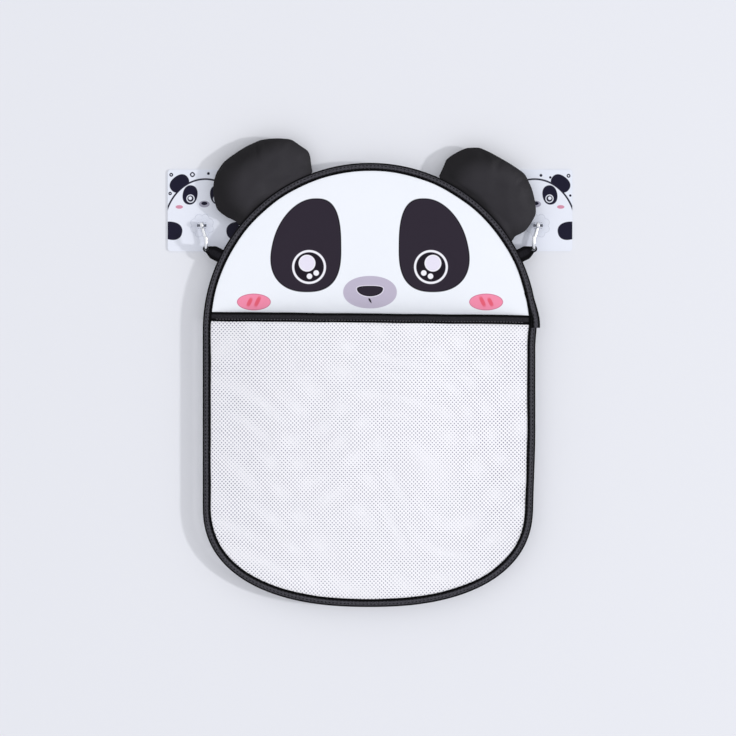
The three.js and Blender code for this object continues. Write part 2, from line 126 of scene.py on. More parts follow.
def placed(across: Array | float, out: Array | float, up: Array | float) -> Array:
    """Points in metres from distances across the wall, out from it and up it, in millimetres."""
    return joined(across, -out, up) * MM


def circle(count: int) -> Array:
    """Angles spaced evenly round a circle, from zero."""
    return np.linspace(0, 2 * math.pi, count, endpoint=False)


def spokes(turn: Array | float) -> Array:
    """Directions at angles: their cosines and sines side by side."""
    return joined(np.cos(turn), np.sin(turn))


def unit(vectors: Array) -> Array:
    """Vectors of length one in the same directions."""
    return vectors / np.linalg.norm(vectors, axis=-1, keepdims=True)


def pulled(run: Array, pitch: float) -> Array:
    """How hard stitches pull along a seam: a cosine that is one at each stitch and zero between two."""
    return 0.5 + 0.5 * np.cos(2 * math.pi * run / pitch)


@dataclass(frozen=True)
class Waves:
    """Gentle unevenness: the mean of seven seeded sine waves in turned directions."""

    height: float
    length: float
    seed: int

    def at(self, first: Array, second: Array) -> Array:
        """Works out the unevenness at places.

        Args:
            first: the places' first coordinate, in millimetres.
            second: their second coordinate, in millimetres.

        Returns:
            Numbers from about minus the height to the height.
        """
        source = np.random.default_rng(self.seed)
        turn, phase = source.uniform(0, math.pi, 7), source.uniform(0, 2 * math.pi, 7)
        length = self.length * source.uniform(0.6, 1.5, 7)
        run = first[..., None] * np.cos(turn) + second[..., None] * np.sin(turn)
        return np.sin(2 * math.pi * run / length + phase).mean(axis=-1) * 1.6 * self.height


def running_length(points: Array, ring: bool) -> Array:
    """Distance along a line of points, in millimetres.

    Args:
        points: the points in metres, one a row.
        ring: whether the last point joins the first, which adds one entry.

    Returns:
        The distance at each point.
    """
    closed = np.vstack([points, points[:1]]) if ring else points
    steps = np.linalg.norm(np.diff(closed, axis=0), axis=1) / MM
    return np.concatenate([[0.0], np.cumsum(steps)])


def polygon_area(points: Array) -> float:
    """Area inside a closed line of points in a plane, half the sum of the cross products."""
    x, y = points.T
    return abs(float(np.dot(x, np.roll(y, -1)) - np.dot(y, np.roll(x, -1)))) / 2


def within(points: Array, outline: Array) -> Array:
    """Which points lie inside an outline that a ray to the right crosses an odd number of times.

    Args:
        points: the points to test, one a row.
        outline: the closed outline's corners.

    Returns:
        True for each point inside.
    """
    start, end = outline, np.roll(outline, -1, axis=0)
    inside = np.zeros(len(points), bool)
    for chunk in np.array_split(np.arange(len(points)), max(1, len(points) // 4000)):
        x, y = points[chunk, :1], points[chunk, 1:]
        spans = (start[:, 1] > y) != (end[:, 1] > y)
        rise = np.where(spans, end[:, 1] - start[:, 1], 1.0)
        reach = start[:, 0] + (y - start[:, 1]) / rise * (end[:, 0] - start[:, 0])
        inside[chunk] = (spans & (x < reach)).sum(axis=1) % 2 == 1
    return inside


class Surface:
    """Collects grids, rods, fans and polygons of points into the mesh of one piece."""

    def __init__(self) -> None:
        """Starts empty."""
        self.points: list[Array] = []
        self.faces: list[list[int]] = []
        self.map: list[Array] = []
        self.count = 0

    def polygons(self, points: Array, faces: Array, uv: Array, flip: bool = False) -> "Surface":
        """Adds polygons of one kind.

        Args:
            points: points in metres, one a row.
            faces: point numbers, one polygon a row.
            uv: map coordinates in millimetres, for each polygon's corners.
            flip: whether the polygons are turned round.

        Returns:
            The surface itself.
        """
        order = slice(None, None, -1 if flip else 1)
        self.points.append(points)
        self.faces.extend((faces[:, order] + self.count).tolist())
        self.map.append(uv[:, order].reshape(-1, 2))
        self.count += len(points)
        return self

    def grid(self, points: Array, along: Array, across: Array, rings: tuple[bool, bool] = (False, False),
             flip: bool = False) -> "Surface":
        """Adds a grid of quads; a ring's last row or column joins its first.

        Args:
            points: points in metres, by row and column.
            along: the map's first coordinate at each row, and once more past a ring's last row.
            across: the map's second coordinate at each column, and once more past a ring's last column.
            rings: whether the rows and the columns close into rings.
            flip: whether the quads are turned round.

        Returns:
            The surface itself.
        """
        rows, columns = points.shape[:2]
        firsts = [np.arange(n if ring else n - 1) for n, ring in zip((rows, columns), rings)]
        row, column = (m.reshape(-1, 1) for m in np.meshgrid(*firsts, indexing="ij"))
        row, column = row + np.array([0, 1, 1, 0]), column + np.array([0, 0, 1, 1])
        faces = (row % rows) * columns + column % columns
        return self.polygons(points.reshape(-1, 3), faces, joined(along[row], across[column]), flip)

    def fan(self, ring: Array, tip: Array, flip: bool = False) -> "Surface":
        """Closes a ring of points with triangles to a tip.

        Args:
            ring: the ring's points in metres, one a row.
            tip: the point that they meet in.
            flip: whether the triangles are turned round.

        Returns:
            The surface itself.
        """
        first = np.arange(len(ring))
        faces = joined(first, np.roll(first, -1), len(ring))
        points = np.vstack([ring, tip[None]])
        return self.polygons(points, faces, points[faces][..., [0, 2]] / MM, flip)

    def rod(self, points: Array, along: Array, around: Array | None = None,
            tips: tuple[Array | None, Array | None] = (None, None)) -> "Surface":
        """Adds a tube of quads with both its ends closed.

        Args:
            points: points in metres, by row along the tube and column round it.
            along: the map's first coordinate at each row.
            around: its second one at each column and once more; without it, the way round the first row.
            tips: the points that the ends meet in; without one, it is the end's middle.

        Returns:
            The surface itself.
        """
        self.grid(points, along, running_length(points[0], True) if around is None else around, (False, True))
        for end, tip in zip((points[0], points[-1]), tips):
            self.fan(end, end.mean(axis=0) if tip is None else tip)
        return self

    def piece(self, name: str, finish: "Finish", weld: float = 0.0, outward: bool = False) -> Object:
        """Makes the piece's object at the origin.

        Args:
            name: the piece's name.
            finish: the finish of its one material.
            weld: points closer than this, in millimetres, are merged.
            outward: whether a closed piece's faces are turned outwards.

        Returns:
            The new object, shaded smooth.
        """
        mesh = bpy.data.meshes.new(name)
        mesh.from_pydata(np.vstack(self.points).tolist(), [], self.faces)
        layer = mesh.uv_layers.new(name="run")
        layer.data.foreach_set("uv", np.concatenate(self.map).astype(np.float32).ravel())
        if weld or outward:
            work = bmesh.new()
            work.from_mesh(mesh)
            bmesh.ops.remove_doubles(work, verts=work.verts, dist=max(weld, 1e-4) * MM)
            if outward:
                bmesh.ops.recalc_face_normals(work, faces=work.faces)
            work.to_mesh(mesh)
            work.free()
        mesh.polygons.foreach_set("use_smooth", np.ones(len(mesh.polygons), bool))
        mesh.materials.append(finish.material())
        made = bpy.data.objects.new(name, mesh)
        bpy.context.scene.collection.objects.link(made)
        return made


def vertices(mesh: bpy.types.Mesh) -> Array:
    """The places of a mesh's vertices in metres, one a row."""
    places = np.empty(len(mesh.vertices) * 3)
    mesh.vertices.foreach_get("co", places)
    return places.reshape(-1, 3)


def tube(path: Array, side: Array, lift: Array, ring: Array) -> Array:
    """Carries a profile along a path.

    Args:
        path: the path's points in metres, one a row.
        side: at each point, the direction of the profile's first coordinate.
        lift: at each point, the direction of its second coordinate.
        ring: the profile's points in millimetres, the same all along or one set a row.

    Returns:
        Points in metres by row and profile point.
    """
    ring = np.broadcast_to(ring, (len(path), *ring.shape[-2:]))
    return path[:, None] + (ring[..., :1] * side[:, None] + ring[..., 1:] * lift[:, None]) * MM


def two_faced(middle: Array, along: Array, lift: Array, rise: Array | float) -> tuple[Array, Array, Array]:
    """Puts a row of stitches on both faces of a tape.

    Args:
        middle: the stitches' places in the middle of the tape, in metres, one a row.
        along: the direction each one runs in.
        lift: the direction that the front faces in.
        rise: how far the faces lie from the middle, in millimetres.

    Returns:
        Places, directions and lifts of the stitches on the front and then of those on the back.
    """
    off = lift * np.reshape(rise, (-1, 1)) * MM
    return np.concatenate([middle + off, middle - off]), np.tile(along, (2, 1)), np.concatenate([lift, -lift])


def seams(centres: Array, along: Array, lift: Array, size: Triple) -> Surface:
    """Rows of thread stitches: each is a low half bead, a sine bump in both directions.

    Args:
        centres: the stitches' middles in metres, one a row.
        along: the direction each one runs in.
        lift: the direction each one stands up in.
        size: a stitch's length, width and height in millimetres.

    Returns:
        The surface with all the stitches.
    """
    rows, columns = 6, 5
    length, width, height = size
    run, turn = np.meshgrid(np.linspace(-1, 1, rows), np.linspace(0, math.pi, columns), indexing="ij")
    slim = np.sqrt(np.clip(1 - run ** 2 * 0.97, 0, 1))
    bead = joined(run * length / 2, slim * np.cos(turn) * width / 2, slim * np.sin(turn) * height)
    axes = np.stack([along, np.cross(lift, along), lift], axis=1)
    points = (centres[:, None] + bead.reshape(-1, 3) @ axes * MM).reshape(-1, 3)
    first = np.arange(rows - 1)[:, None] * columns + np.arange(columns - 1)
    quads = joined(first, first + 1, first + columns + 1, first + columns).reshape(-1, 4)
    faces = (quads + np.arange(len(centres))[:, None, None] * rows * columns).reshape(-1, 4)
    return Surface().polygons(points, faces, points[faces][..., [0, 2]] / MM)


def declare(piece: Object, body: str, node: str | None = None) -> Object:
    """Says which body a piece rides on and the node it replaces.

    Args:
        piece: the piece.
        body: the body's name.
        node: the node's name; an added piece has none.

    Returns:
        The piece.
    """
    if node:
        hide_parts(node)
    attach(piece, body)
    return piece


def stretched(piece: Object, rim: Array) -> Object:
    """Logs the flat size and area of a sheet that is sewn taut into the edge's tape.

    Args:
        piece: the sheet.
        rim: its flat outline across and up, in millimetres.

    Returns:
        The piece.
    """
    size, area = (rim.max(axis=0) - rim.min(axis=0)) * MM, polygon_area(rim * MM)
    tuple(float(s) for s in size)
    LOG.info("%s flat %.1f x %.1f mm, %.0f cm2", piece.name, *(size / MM), area * 1e4)
    return piece


# Finishes


class Shader:
    """Short calls that place nodes in one tree and join them."""

    def __init__(self, tree: Tree) -> None:
        """Works on one node tree."""
        self.tree = tree

    def put(self, socket: Socket, value: Value) -> None:
        """Joins a socket to another one, or sets it to a plain value."""
        if isinstance(value, bpy.types.NodeSocket):
            self.tree.links.new(value, socket)
        else:
            socket.default_value = value

    def join(self, node: Node, inputs: Inputs) -> None:
        """Joins or sets a node's inputs by name or number."""
        for key, value in inputs.items():
            self.put(node.inputs[key], value)

    def node(self, kind: str, inputs: Inputs | None = None, **settings: object) -> Node:
        """Places a node.

        Args:
            kind: the node's type.
            inputs: values or sockets for its inputs, by name or number.
            settings: its properties, set before the inputs.

        Returns:
            The node.
        """
        made = self.tree.nodes.new(kind)
        for key, value in settings.items():
            setattr(made, key, value)
        self.join(made, inputs or {})
        return made

    def math(self, operation: str, *values: Value) -> Socket:
        """Places a Math node on up to three values and returns its result."""
        return self.node("ShaderNodeMath", dict(enumerate(values)), operation=operation).outputs[0]

    def step(self, value: Value, low: Value, high: Value) -> Socket:
        """Places a smooth step from zero at low to one at high and returns its result."""
        limits = {"Value": value, "From Min": low, "From Max": high}
        return self.node("ShaderNodeMapRange", limits, interpolation_type="SMOOTHSTEP").outputs["Result"]

    def mix(self, share: Value, under: Value, over: Value) -> Socket:
        """Lays one colour over another by a share and returns the result."""
        return self.node("ShaderNodeMix", {0: share, 6: under, 7: over}, data_type="RGBA").outputs[2]

    def noise(self, place: Socket, scale: Value, detail: float = 2.0) -> Socket:
        """Places noise, its scale counted per millimetre, and returns its value."""
        return self.node("ShaderNodeTexNoise", {"Vector": place, "Scale": scale, "Detail": detail}).outputs[0]

    def bump(self, height: Value, depth: float) -> Socket:
        """Turns a height from zero to one into a normal; depth is in millimetres."""
        return self.node("ShaderNodeBump", {"Height": height, "Distance": depth * MM}).outputs["Normal"]

    def split(self, vector: Socket) -> Outputs:
        """The X, Y and Z of a vector."""
        return self.node("ShaderNodeSeparateXYZ", {"Vector": vector}).outputs

    def place(self, pattern: Pattern) -> Socket:
        """The pattern's place in millimetres: along the map, or across and up with the depth last."""
        corner = self.node("ShaderNodeTexCoord").outputs[pattern.value]
        if pattern is Pattern.MAP:
            return corner
        parts = self.split(corner)
        scaled = [self.math("MULTIPLY", parts[axis], 1 / MM) for axis in "XZY"]
        return self.node("ShaderNodeCombineXYZ", dict(zip("XYZ", scaled))).outputs[0]

    def group(self, tree: Tree, inputs: Inputs) -> Outputs:
        """Places a node group with its own values and returns its outputs."""
        return self.node("ShaderNodeGroup", inputs, node_tree=tree).outputs


def new_group(name: str, inputs: dict[str, Value], outputs: dict[str, str]) -> tuple[Shader, dict, dict]:
    """Starts a shader node group.

    Args:
        name: the group's name.
        inputs: the default of each input; its length gives the kind of socket.
        outputs: the kind of each output.

    Returns:
        The group's shader, the sockets that its inputs come from and those that its outputs go to.
    """
    tree = bpy.data.node_groups.new(name, "ShaderNodeTree")
    kinds = {1: NUMBER, 3: "NodeSocketVector", 4: COLOUR}
    for key, value in inputs.items():
        kind = kinds[len(value) if isinstance(value, tuple) else 1]
        tree.interface.new_socket(name=key, in_out="INPUT", socket_type=kind).default_value = value
    for key, kind in outputs.items():
        tree.interface.new_socket(name=key, in_out="OUTPUT", socket_type=kind)
    start, end = tree.nodes.new("NodeGroupInput"), tree.nodes.new("NodeGroupOutput")
    return Shader(tree), dict(start.outputs.items()), dict(end.inputs.items())


@cache
def weave_group() -> Tree:
    """Plain weave: warp and weft are rounded ridges, and the one on top alternates like a chessboard."""
    shader, given, result = new_group(
        "thread_weave", {"Place": ORIGIN, "Warp": 1.0, "Weft": 1.0}, {"Height": NUMBER})
    math_of = shader.math
    parts = shader.split(given["Place"])
    counts = [math_of("DIVIDE", parts[axis], given[key]) for axis, key in (("X", "Warp"), ("Y", "Weft"))]
    warp, weft = (math_of("ABSOLUTE", math_of("SINE", math_of("MULTIPLY", c, math.pi)))
                  for c in counts)
    cell = math_of("ADD", *(math_of("FLOOR", c) for c in counts))
    turn = math_of("FLOORED_MODULO", cell, 2.0)
    over = math_of("MULTIPLY", turn, math_of("SUBTRACT", warp, weft))
    shader.put(result["Height"], math_of("ADD", weft, over))
    return shader.tree


@cache
def drift_group() -> Tree:
    """Uneven tone: slow noise lightens and darkens a colour and gives its share for roughness."""
    shader, given, result = new_group(
        "tone_drift", {"Place": ORIGIN, "Colour": (1.0, 1.0, 1.0, 1.0), "Size": 10.0, "Amount": 0.1},
        {"Colour": COLOUR, "Share": NUMBER})
    math_of = shader.math
    share = shader.noise(given["Place"], math_of("DIVIDE", 1.0, given["Size"]), 3.0)
    swing = math_of("SUBTRACT", share, 0.5)
    level = math_of("MULTIPLY_ADD", swing, math_of("MULTIPLY", given["Amount"], 2.0), 1.0)
    tinted = shader.node("ShaderNodeVectorMath", {0: given["Colour"], "Scale": level}, operation="SCALE")
    shader.put(result["Colour"], tinted.outputs[0])
    shader.put(result["Share"], share)
    return shader.tree


@cache
def crown_shade_group() -> Tree:
    """Painted shade and highlight: across a tape the colour steps from a darker edge to a lighter crown and
    back on a sine, with flecks, standing in for light on the rounded tape.
    """
    shader, given, result = new_group(
        "painted_crown_shade", {"Place": ORIGIN, "Edge": (0.0, 0.0, 0.0, 1.0), "Crown": (1.0, 1.0, 1.0, 1.0),
                       "Period": 9.6}, {"Colour": COLOUR})
    math_of = shader.math
    turn = math_of("MULTIPLY", shader.split(given["Place"])["Y"], math.pi)
    wave = math_of("SINE", math_of("DIVIDE", turn, given["Period"]))
    # flecks break up the painted highlight along the crown
    fleck = shader.step(shader.noise(given["Place"], 0.9, 4.0), 0.35, 0.75)
    lit_crest = shader.step(math_of("ABSOLUTE", wave), 0.6, 0.97)
    share = math_of("MULTIPLY", lit_crest, math_of("MULTIPLY_ADD", fleck, 0.9, 0.5))
    shader.put(result["Colour"], shader.mix(share, given["Edge"], given["Crown"]))
    return shader.tree


@dataclass(frozen=True)
class Spot:
    """One printed spot in millimetres and degrees; its numbers are the inputs of the spot group."""

    across: float
    up: float
    half_width: float
    half_height: float
    colour: str
    lean: float = 0.0
    shear: float = 0.0
    bow: float = 0.0
    taper: float = 0.0
    power: float = 2.0
    hole: float = -1.0
    cut: float = 1000.0
    edge: float = 0.35


@cache
def spot_group() -> Tree:
    """Printed spot: a leaning superellipse on a bowed axis, tapering upwards, with a soft edge and a cut.

    The axis lies at -(shear v + bow v^2) across for a height v, and the outline is |x|^p + |y|^p = 1.
    """
    numbers = [field.name for field in fields(Spot) if field.name != "colour"]
    shader, given, result = new_group(
        "printed_spot", {"place": ORIGIN, **dict.fromkeys(numbers, 1.0)}, {"mask": NUMBER})
    math_of = shader.math
    parts, lean = shader.split(given["place"]), math_of("RADIANS", given["lean"])
    x = math_of("SUBTRACT", parts["X"], given["across"])
    y = math_of("SUBTRACT", parts["Y"], given["up"])
    cosine, sine = math_of("COSINE", lean), math_of("SINE", lean)
    u = math_of("MULTIPLY_ADD", x, cosine, math_of("MULTIPLY", y, sine))
    v = math_of("SUBTRACT", math_of("MULTIPLY", y, cosine), math_of("MULTIPLY", x, sine))
    axis = math_of("MULTIPLY", v, math_of("MULTIPLY_ADD", v, given["bow"], given["shear"]))
    tall = math_of("DIVIDE", v, given["half_height"])
    slim = math_of("SUBTRACT", 1.0, math_of("MULTIPLY", tall, given["taper"]))
    half = math_of("MULTIPLY", given["half_width"], slim)
    wide = math_of("DIVIDE", math_of("ADD", u, axis), half)
    sides = (math_of("POWER", math_of("ABSOLUTE", way), given["power"]) for way in (wide, tall))
    far = math_of("POWER", math_of("ADD", *sides), math_of("DIVIDE", 1.0, given["power"]))
    soft = math_of("DIVIDE", given["edge"], given["half_width"])

    def reached(distance: Value, limit: Value, spread: Value) -> Socket:
        """Zero before a limit and one past it, eased over a spread on each side."""
        low, high = (math_of(operation, limit, spread) for operation in ("SUBTRACT", "ADD"))
        return shader.step(distance, low, high)

    inside = math_of("SUBTRACT", 1.0, reached(far, 1.0, soft))
    ring = math_of("MULTIPLY", inside, reached(far, given["hole"], soft))
    below = math_of("SUBTRACT", 1.0, reached(y, given["cut"], given["edge"]))
    shader.put(result["mask"], math_of("MULTIPLY", ring, below))
    return shader.tree


def printed(shader: Shader, place: Socket, ground: Value, spots: Sequence[Spot]) -> Value:
    """Lays printed spots over a ground colour, in order.

    Args:
        shader: the material's tree.
        place: the print's place in millimetres.
        ground: the ground's colour.
        spots: the spots, lowest first.

    Returns:
        The print's colour.
    """
    for spot in spots:
        numbers = asdict(spot)
        colour = linear(numbers.pop("colour"))
        ground = shader.mix(shader.group(spot_group(), {"place": place, **numbers})["mask"], ground, colour)
    return ground


def mirrored_place(shader: Shader, middle: float, flip: float) -> Socket:
    """The place across from a middle line and up; with flip zero, both sides of it read alike."""
    parts = shader.split(shader.place(Pattern.AXES))
    from_middle = shader.math("SUBTRACT", parts["X"], middle)
    across = shader.math("MULTIPLY", from_middle, flip) if flip else shader.math("ABSOLUTE", from_middle)
    return shader.node("ShaderNodeCombineXYZ", {"X": across, "Y": parts["Y"]}).outputs[0]


@dataclass(frozen=True)
class Finish:
    """A named finish with a Principled surface, its colour drifting slowly and its roughness with it."""

    name: str
    colour: str
    roughness: float
    drift: float = 0.06
    drift_size: float = 14.0
    rough_swing: float = 0.12

    @cache
    def material(self) -> bpy.types.Material:
        """The finish's material, made the first time it is asked for."""
        made = bpy.data.materials.new(self.name)
        made.use_nodes = True
        self.dress(Shader(made.node_tree), made.node_tree.nodes["Principled BSDF"])
        return made

    def ground(self, shader: Shader) -> Value:
        """The colour before it drifts."""
        return linear(self.colour)

    def dress(self, shader: Shader, surface: Node) -> None:
        """Joins the drifting colour and roughness to the surface.

        Args:
            shader: the material's tree.
            surface: its Principled node.
        """
        toned = shader.group(drift_group(), {
            "Place": shader.place(Pattern.AXES), "Colour": self.ground(shader),
            "Size": self.drift_size, "Amount": self.drift})
        least = self.roughness - self.rough_swing / 2
        rough = shader.math("MULTIPLY_ADD", toned["Share"], self.rough_swing, least)
        shader.join(surface, {"Base Color": toned["Colour"], "Roughness": rough})


@dataclass(frozen=True)
class Cloth(Finish):
    """Woven cloth: the drifting colour over a weave of warp and weft threads, with a sheen."""

    warp: float = 0.5
    weft: float = 0.5
    depth: float = 0.08
    sheen: float = 0.04
    sheen_roughness: float = 0.45
    gloss: float = 0.1
    pattern: Pattern = Pattern.AXES

    def dress(self, shader: Shader, surface: Node) -> None:
        """Adds the weave and the sheen to the plain finish."""
        super().dress(shader, surface)
        place = {"Place": shader.place(self.pattern), "Warp": self.warp, "Weft": self.weft}
        height = shader.group(weave_group(), place)["Height"]
        shader.join(surface, {
            "Normal": shader.bump(height, self.depth), "Sheen Weight": self.sheen,
            "Sheen Roughness": self.sheen_roughness, "Specular IOR Level": self.gloss})


@dataclass(frozen=True)
class Tape(Cloth):
    """Woven tape with painted light: a lighter crown along each face and darker edges stand in for light
    falling on the rounded tape.
    """

    # painted highlight: the lighter colour of the lit crown; the finish's own colour is the painted shade at
    # the edges
    crown: str = "#3a383f"
    period: float = 9.6

    def ground(self, shader: Shader) -> Value:
        """The tape's colour with painted shade and highlight: from its darker edges to its lighter crown,
        broken by flecks.
        """
        return shader.group(crown_shade_group(), {
            "Place": shader.place(Pattern.MAP), "Edge": linear(self.colour), "Crown": linear(self.crown),
            "Period": self.period})["Colour"]


@dataclass(frozen=True)
class SheerCloth(Cloth):
    """Cloth of thin pale threads, which let a share of the light through to what lies behind them."""

    passed: float = 0.4
    # painted shade: a greyer colour for the side facing into the pocket, standing in for the shade there
    inner: str | None = None

    def ground(self, shader: Shader) -> Value:
        """The colour, and an inner colour, if there is one, on the side that the faces turn away from:
        painted shade inside the pocket.
        """
        if self.inner is None:
            return super().ground(shader)
        away = shader.node("ShaderNodeNewGeometry").outputs["Backfacing"]
        return shader.mix(away, linear(self.colour), linear(self.inner))

    def dress(self, shader: Shader, surface: Node) -> None:
        """Adds the share of light that passes to the woven cloth: only shadow and diffuse rays meet it."""
        super().dress(shader, surface)
        rays = shader.node("ShaderNodeLightPath").outputs
        passing = shader.math("MAXIMUM", rays["Is Shadow Ray"], rays["Is Diffuse Ray"])
        shader.join(surface, {"Alpha": shader.math("MULTIPLY_ADD", passing, -self.passed, 1.0)})


@dataclass(frozen=True)
class PaddedShadedCloth(Cloth):
    """Cloth over padding with painted light: a lighter crown and darker rim stand in for light falling on the
    padded shape; its square map reaches from the rim to the rim.
    """

    # painted highlight: the lighter colour of the lit crown; the finish's own colour is the painted shade at
    # the rim
    crown: str = "#2d2b30"
    reach: float = 53.0
    # moves the painted lit crown towards the side that the lamp lights
    shift: Pair = (0.0, 0.0)

    def ground(self, shader: Shader) -> Value:
        """The painted light from the lit crown to the shaded rim: on the map, u^2 + v^2 - u^2 v^2 grows from
        zero to one at the rim.
        """
        parts = shader.split(shader.place(Pattern.MAP))
        ways = [shader.math("MULTIPLY_ADD", parts[axis], 1 / self.reach, -1.0 - shift)
                for axis, shift in zip("XY", self.shift)]
        squares = [shader.math("MULTIPLY", way, way) for way in ways]
        far = shader.math("SUBTRACT", shader.math("ADD", *squares), shader.math("MULTIPLY", *squares))
        return shader.mix(shader.step(far, 0.3, 1.0), linear(self.crown), linear(self.colour))


DARK, DARK_LINE, PALE, LILAC = "#2e2733", "#100d15", "#f7f6fd", "#ebe6f6"
BLUSH, BLUSH_LINE, BLUSH_STROKE = "#f690ae", "#d07590", "#ea6177"
FACE_SPOTS = (
    Spot(62.1, -34.5, 34.0, 46.0, DARK_LINE, shear=0.1, bow=0.0024, taper=0.15, power=2.38),
    Spot(62.1, -34.5, 33.0, 45.0, DARK, shear=0.1, bow=0.0024, taper=0.15, power=2.38),
    Spot(59.7, -55.8, 16.6, 16.6, PALE),
    Spot(59.7, -55.8, 14.5, 14.5, "#1d1722"),
    Spot(61.7, -52.1, 8.2, 8.2, PALE),
    Spot(61.7, -52.1, 7.2, 7.2, LILAC),
    Spot(59.3, -64.9, 2.7, 2.7, PALE),
    Spot(52.7, -61.7, 2.7, 2.7, PALE),
    Spot(113.8, -90.1, 16.6, 8.2, BLUSH_LINE),
    Spot(113.8, -90.1, 15.9, 7.5, BLUSH),
    Spot(118.0, -90.2, 1.9, 4.4, BLUSH_STROKE, lean=26, power=3.0, edge=0.7),
    Spot(110.2, -89.7, 1.9, 5.2, BLUSH_STROKE, lean=26, power=3.0, edge=0.7),
)
NOSE_LAYERS = ((13.7, 8.2, 3.8, "#e6e0ee"), (12.8, 7.3, 3.0, DARK_LINE), (11.8, 6.4, 2.2, DARK))
MUZZLE_SPOTS = (
    Spot(0.0, -80.5, 26.3, 15.9, "#c3bbcf", power=2.1),
    *(Spot(0.0, -77.3, wide, tall, colour, **form) for wide, low, high, colour in NOSE_LAYERS
      for tall, form in ((low, {"cut": 0.0}), (high, {"power": 2.6}))),
    Spot(0.1, -88.8, 0.9, 2.7, DARK_LINE, lean=30, taper=-0.35),
)


@dataclass(frozen=True)
class FacePrint(Cloth):
    """Printed face cloth: eyes and cheeks repeat on both sides of the middle line, the muzzle lies on it."""

    def ground(self, shader: Shader) -> Value:
        """The printed face."""
        sides = printed(shader, mirrored_place(shader, 0.0, 0.0), linear(self.colour), FACE_SPOTS)
        return printed(shader, shader.place(Pattern.AXES), sides, MUZZLE_SPOTS)


NAVY, PATCH_WHITE, PATCH_GREY, PATCH_PINK = "#15132a", "#e9ecf7", "#a9a6b8", "#d391a8"
PATCH_SPOTS = (
    Spot(-23.5, 26.5, 10.2, 7.6, NAVY, lean=38, power=2.3),
    Spot(25.5, 26.5, 10.2, 7.6, NAVY, lean=-38, power=2.3),
    Spot(2.0, -19.0, 41.8, 50.6, NAVY),
    Spot(2.0, -19.0, 40.1, 48.9, PATCH_WHITE),
    Spot(-13.0, 15.2, 7.3, 9.6, NAVY, lean=-10, power=2.2),
    Spot(-12.6, 11.6, 4.0, 4.0, PATCH_WHITE),
    Spot(-12.6, 11.6, 3.1, 3.1, NAVY),
    Spot(-12.9, 12.0, 1.7, 1.7, PATCH_WHITE),
    Spot(14.0, 15.2, 7.3, 9.6, NAVY, lean=10, power=2.2),
    Spot(13.6, 11.4, 4.0, 4.0, PATCH_WHITE),
    Spot(13.6, 11.4, 3.1, 3.1, NAVY),
    Spot(13.3, 11.8, 1.7, 1.7, PATCH_WHITE),
    Spot(1.0, 6.2, 5.2, 3.3, PATCH_GREY),
    Spot(1.0, 6.9, 3.0, 1.7, NAVY),
    Spot(-23.6, 3.4, 3.6, 1.8, PATCH_PINK),
    Spot(25.6, 3.4, 3.6, 1.8, PATCH_PINK),
    Spot(-31.4, -20.0, 10.8, 8.9, NAVY, lean=-10, power=2.3),
    Spot(33.4, -20.0, 10.8, 8.9, NAVY, lean=10, power=2.3),
)
PATCH_MARKS = {
    Side.LEFT: (
        Spot(-31.5, 35.0, 1.9, 1.9, NAVY, hole=0.35, edge=0.25),
        Spot(-10.7, 35.2, 2.6, 2.6, NAVY, hole=0.5, edge=0.25, power=1.6),
        Spot(5.0, 36.2, 1.4, 1.4, NAVY, edge=0.25),
        Spot(-32.6, 16.6, 1.7, 1.7, NAVY, hole=0.3, edge=0.25)),
    Side.RIGHT: (
        Spot(-31.3, 34.0, 1.9, 1.9, NAVY, hole=0.4, edge=0.25),
        Spot(-13.4, 32.4, 1.2, 1.2, NAVY, edge=0.25),
        Spot(-4.2, 34.4, 1.4, 1.4, NAVY, edge=0.25),
        Spot(-33.0, 14.6, 1.2, 1.2, NAVY, edge=0.25)),
}


@dataclass(frozen=True)
class PatchPrint(Finish):
    """Printed glossy film: a plain panda head drawn about the patch's middle, mirrored on one side."""

    side: Side = Side.LEFT
    middle: float = 0.0
    coat: float = 0.1
    coat_roughness: float = 0.08
    gloss: float = 0.1

    def ground(self, shader: Shader) -> Value:
        """The printed motif and the marks round it."""
        place = mirrored_place(shader, self.middle, -self.side.value)
        return printed(shader, place, linear(self.colour), PATCH_SPOTS + PATCH_MARKS[self.side])

    def dress(self, shader: Shader, surface: Node) -> None:
        """Adds a clear coat to the plain finish."""
        super().dress(shader, surface)
        shader.join(surface, {"Coat Weight": self.coat, "Coat Roughness": self.coat_roughness,
                              "Specular IOR Level": self.gloss})


@dataclass(frozen=True)
class Steel(Finish):
    """Drawn steel wire: a metal with a fine uneven polish and a darker edge tint."""

    edge: str = "#23252b"
    marks: float = 0.02

    def dress(self, shader: Shader, surface: Node) -> None:
        """Makes the plain finish metal and gives it faint drawing marks."""
        super().dress(shader, surface)
        height = shader.noise(shader.place(Pattern.MAP), 2.5)
        shader.join(surface, {
            "Metallic": 1.0, "Specular Tint": linear(self.edge), "Normal": shader.bump(height, self.marks)})


@dataclass(frozen=True)
class ClearPlastic(Finish):
    """Clear moulded plastic: see-through where it is seen straight on, with its grey on slanting sides."""

    least: float = 0.03
    ripple: float = 0.03

    def dress(self, shader: Shader, surface: Node) -> None:
        """Makes the plain finish see-through and gives it a ripple from the mould."""
        super().dress(shader, surface)
        facing = shader.node("ShaderNodeLayerWeight", {"Blend": 0.4}).outputs["Facing"]
        rim = shader.math("MULTIPLY", facing, facing)
        height = shader.noise(shader.place(Pattern.AXES), 0.35)
        shader.join(surface, {"Alpha": shader.math("MULTIPLY_ADD", rim, 1.0 - self.least, self.least),
                              "Normal": shader.bump(height, self.ripple)})
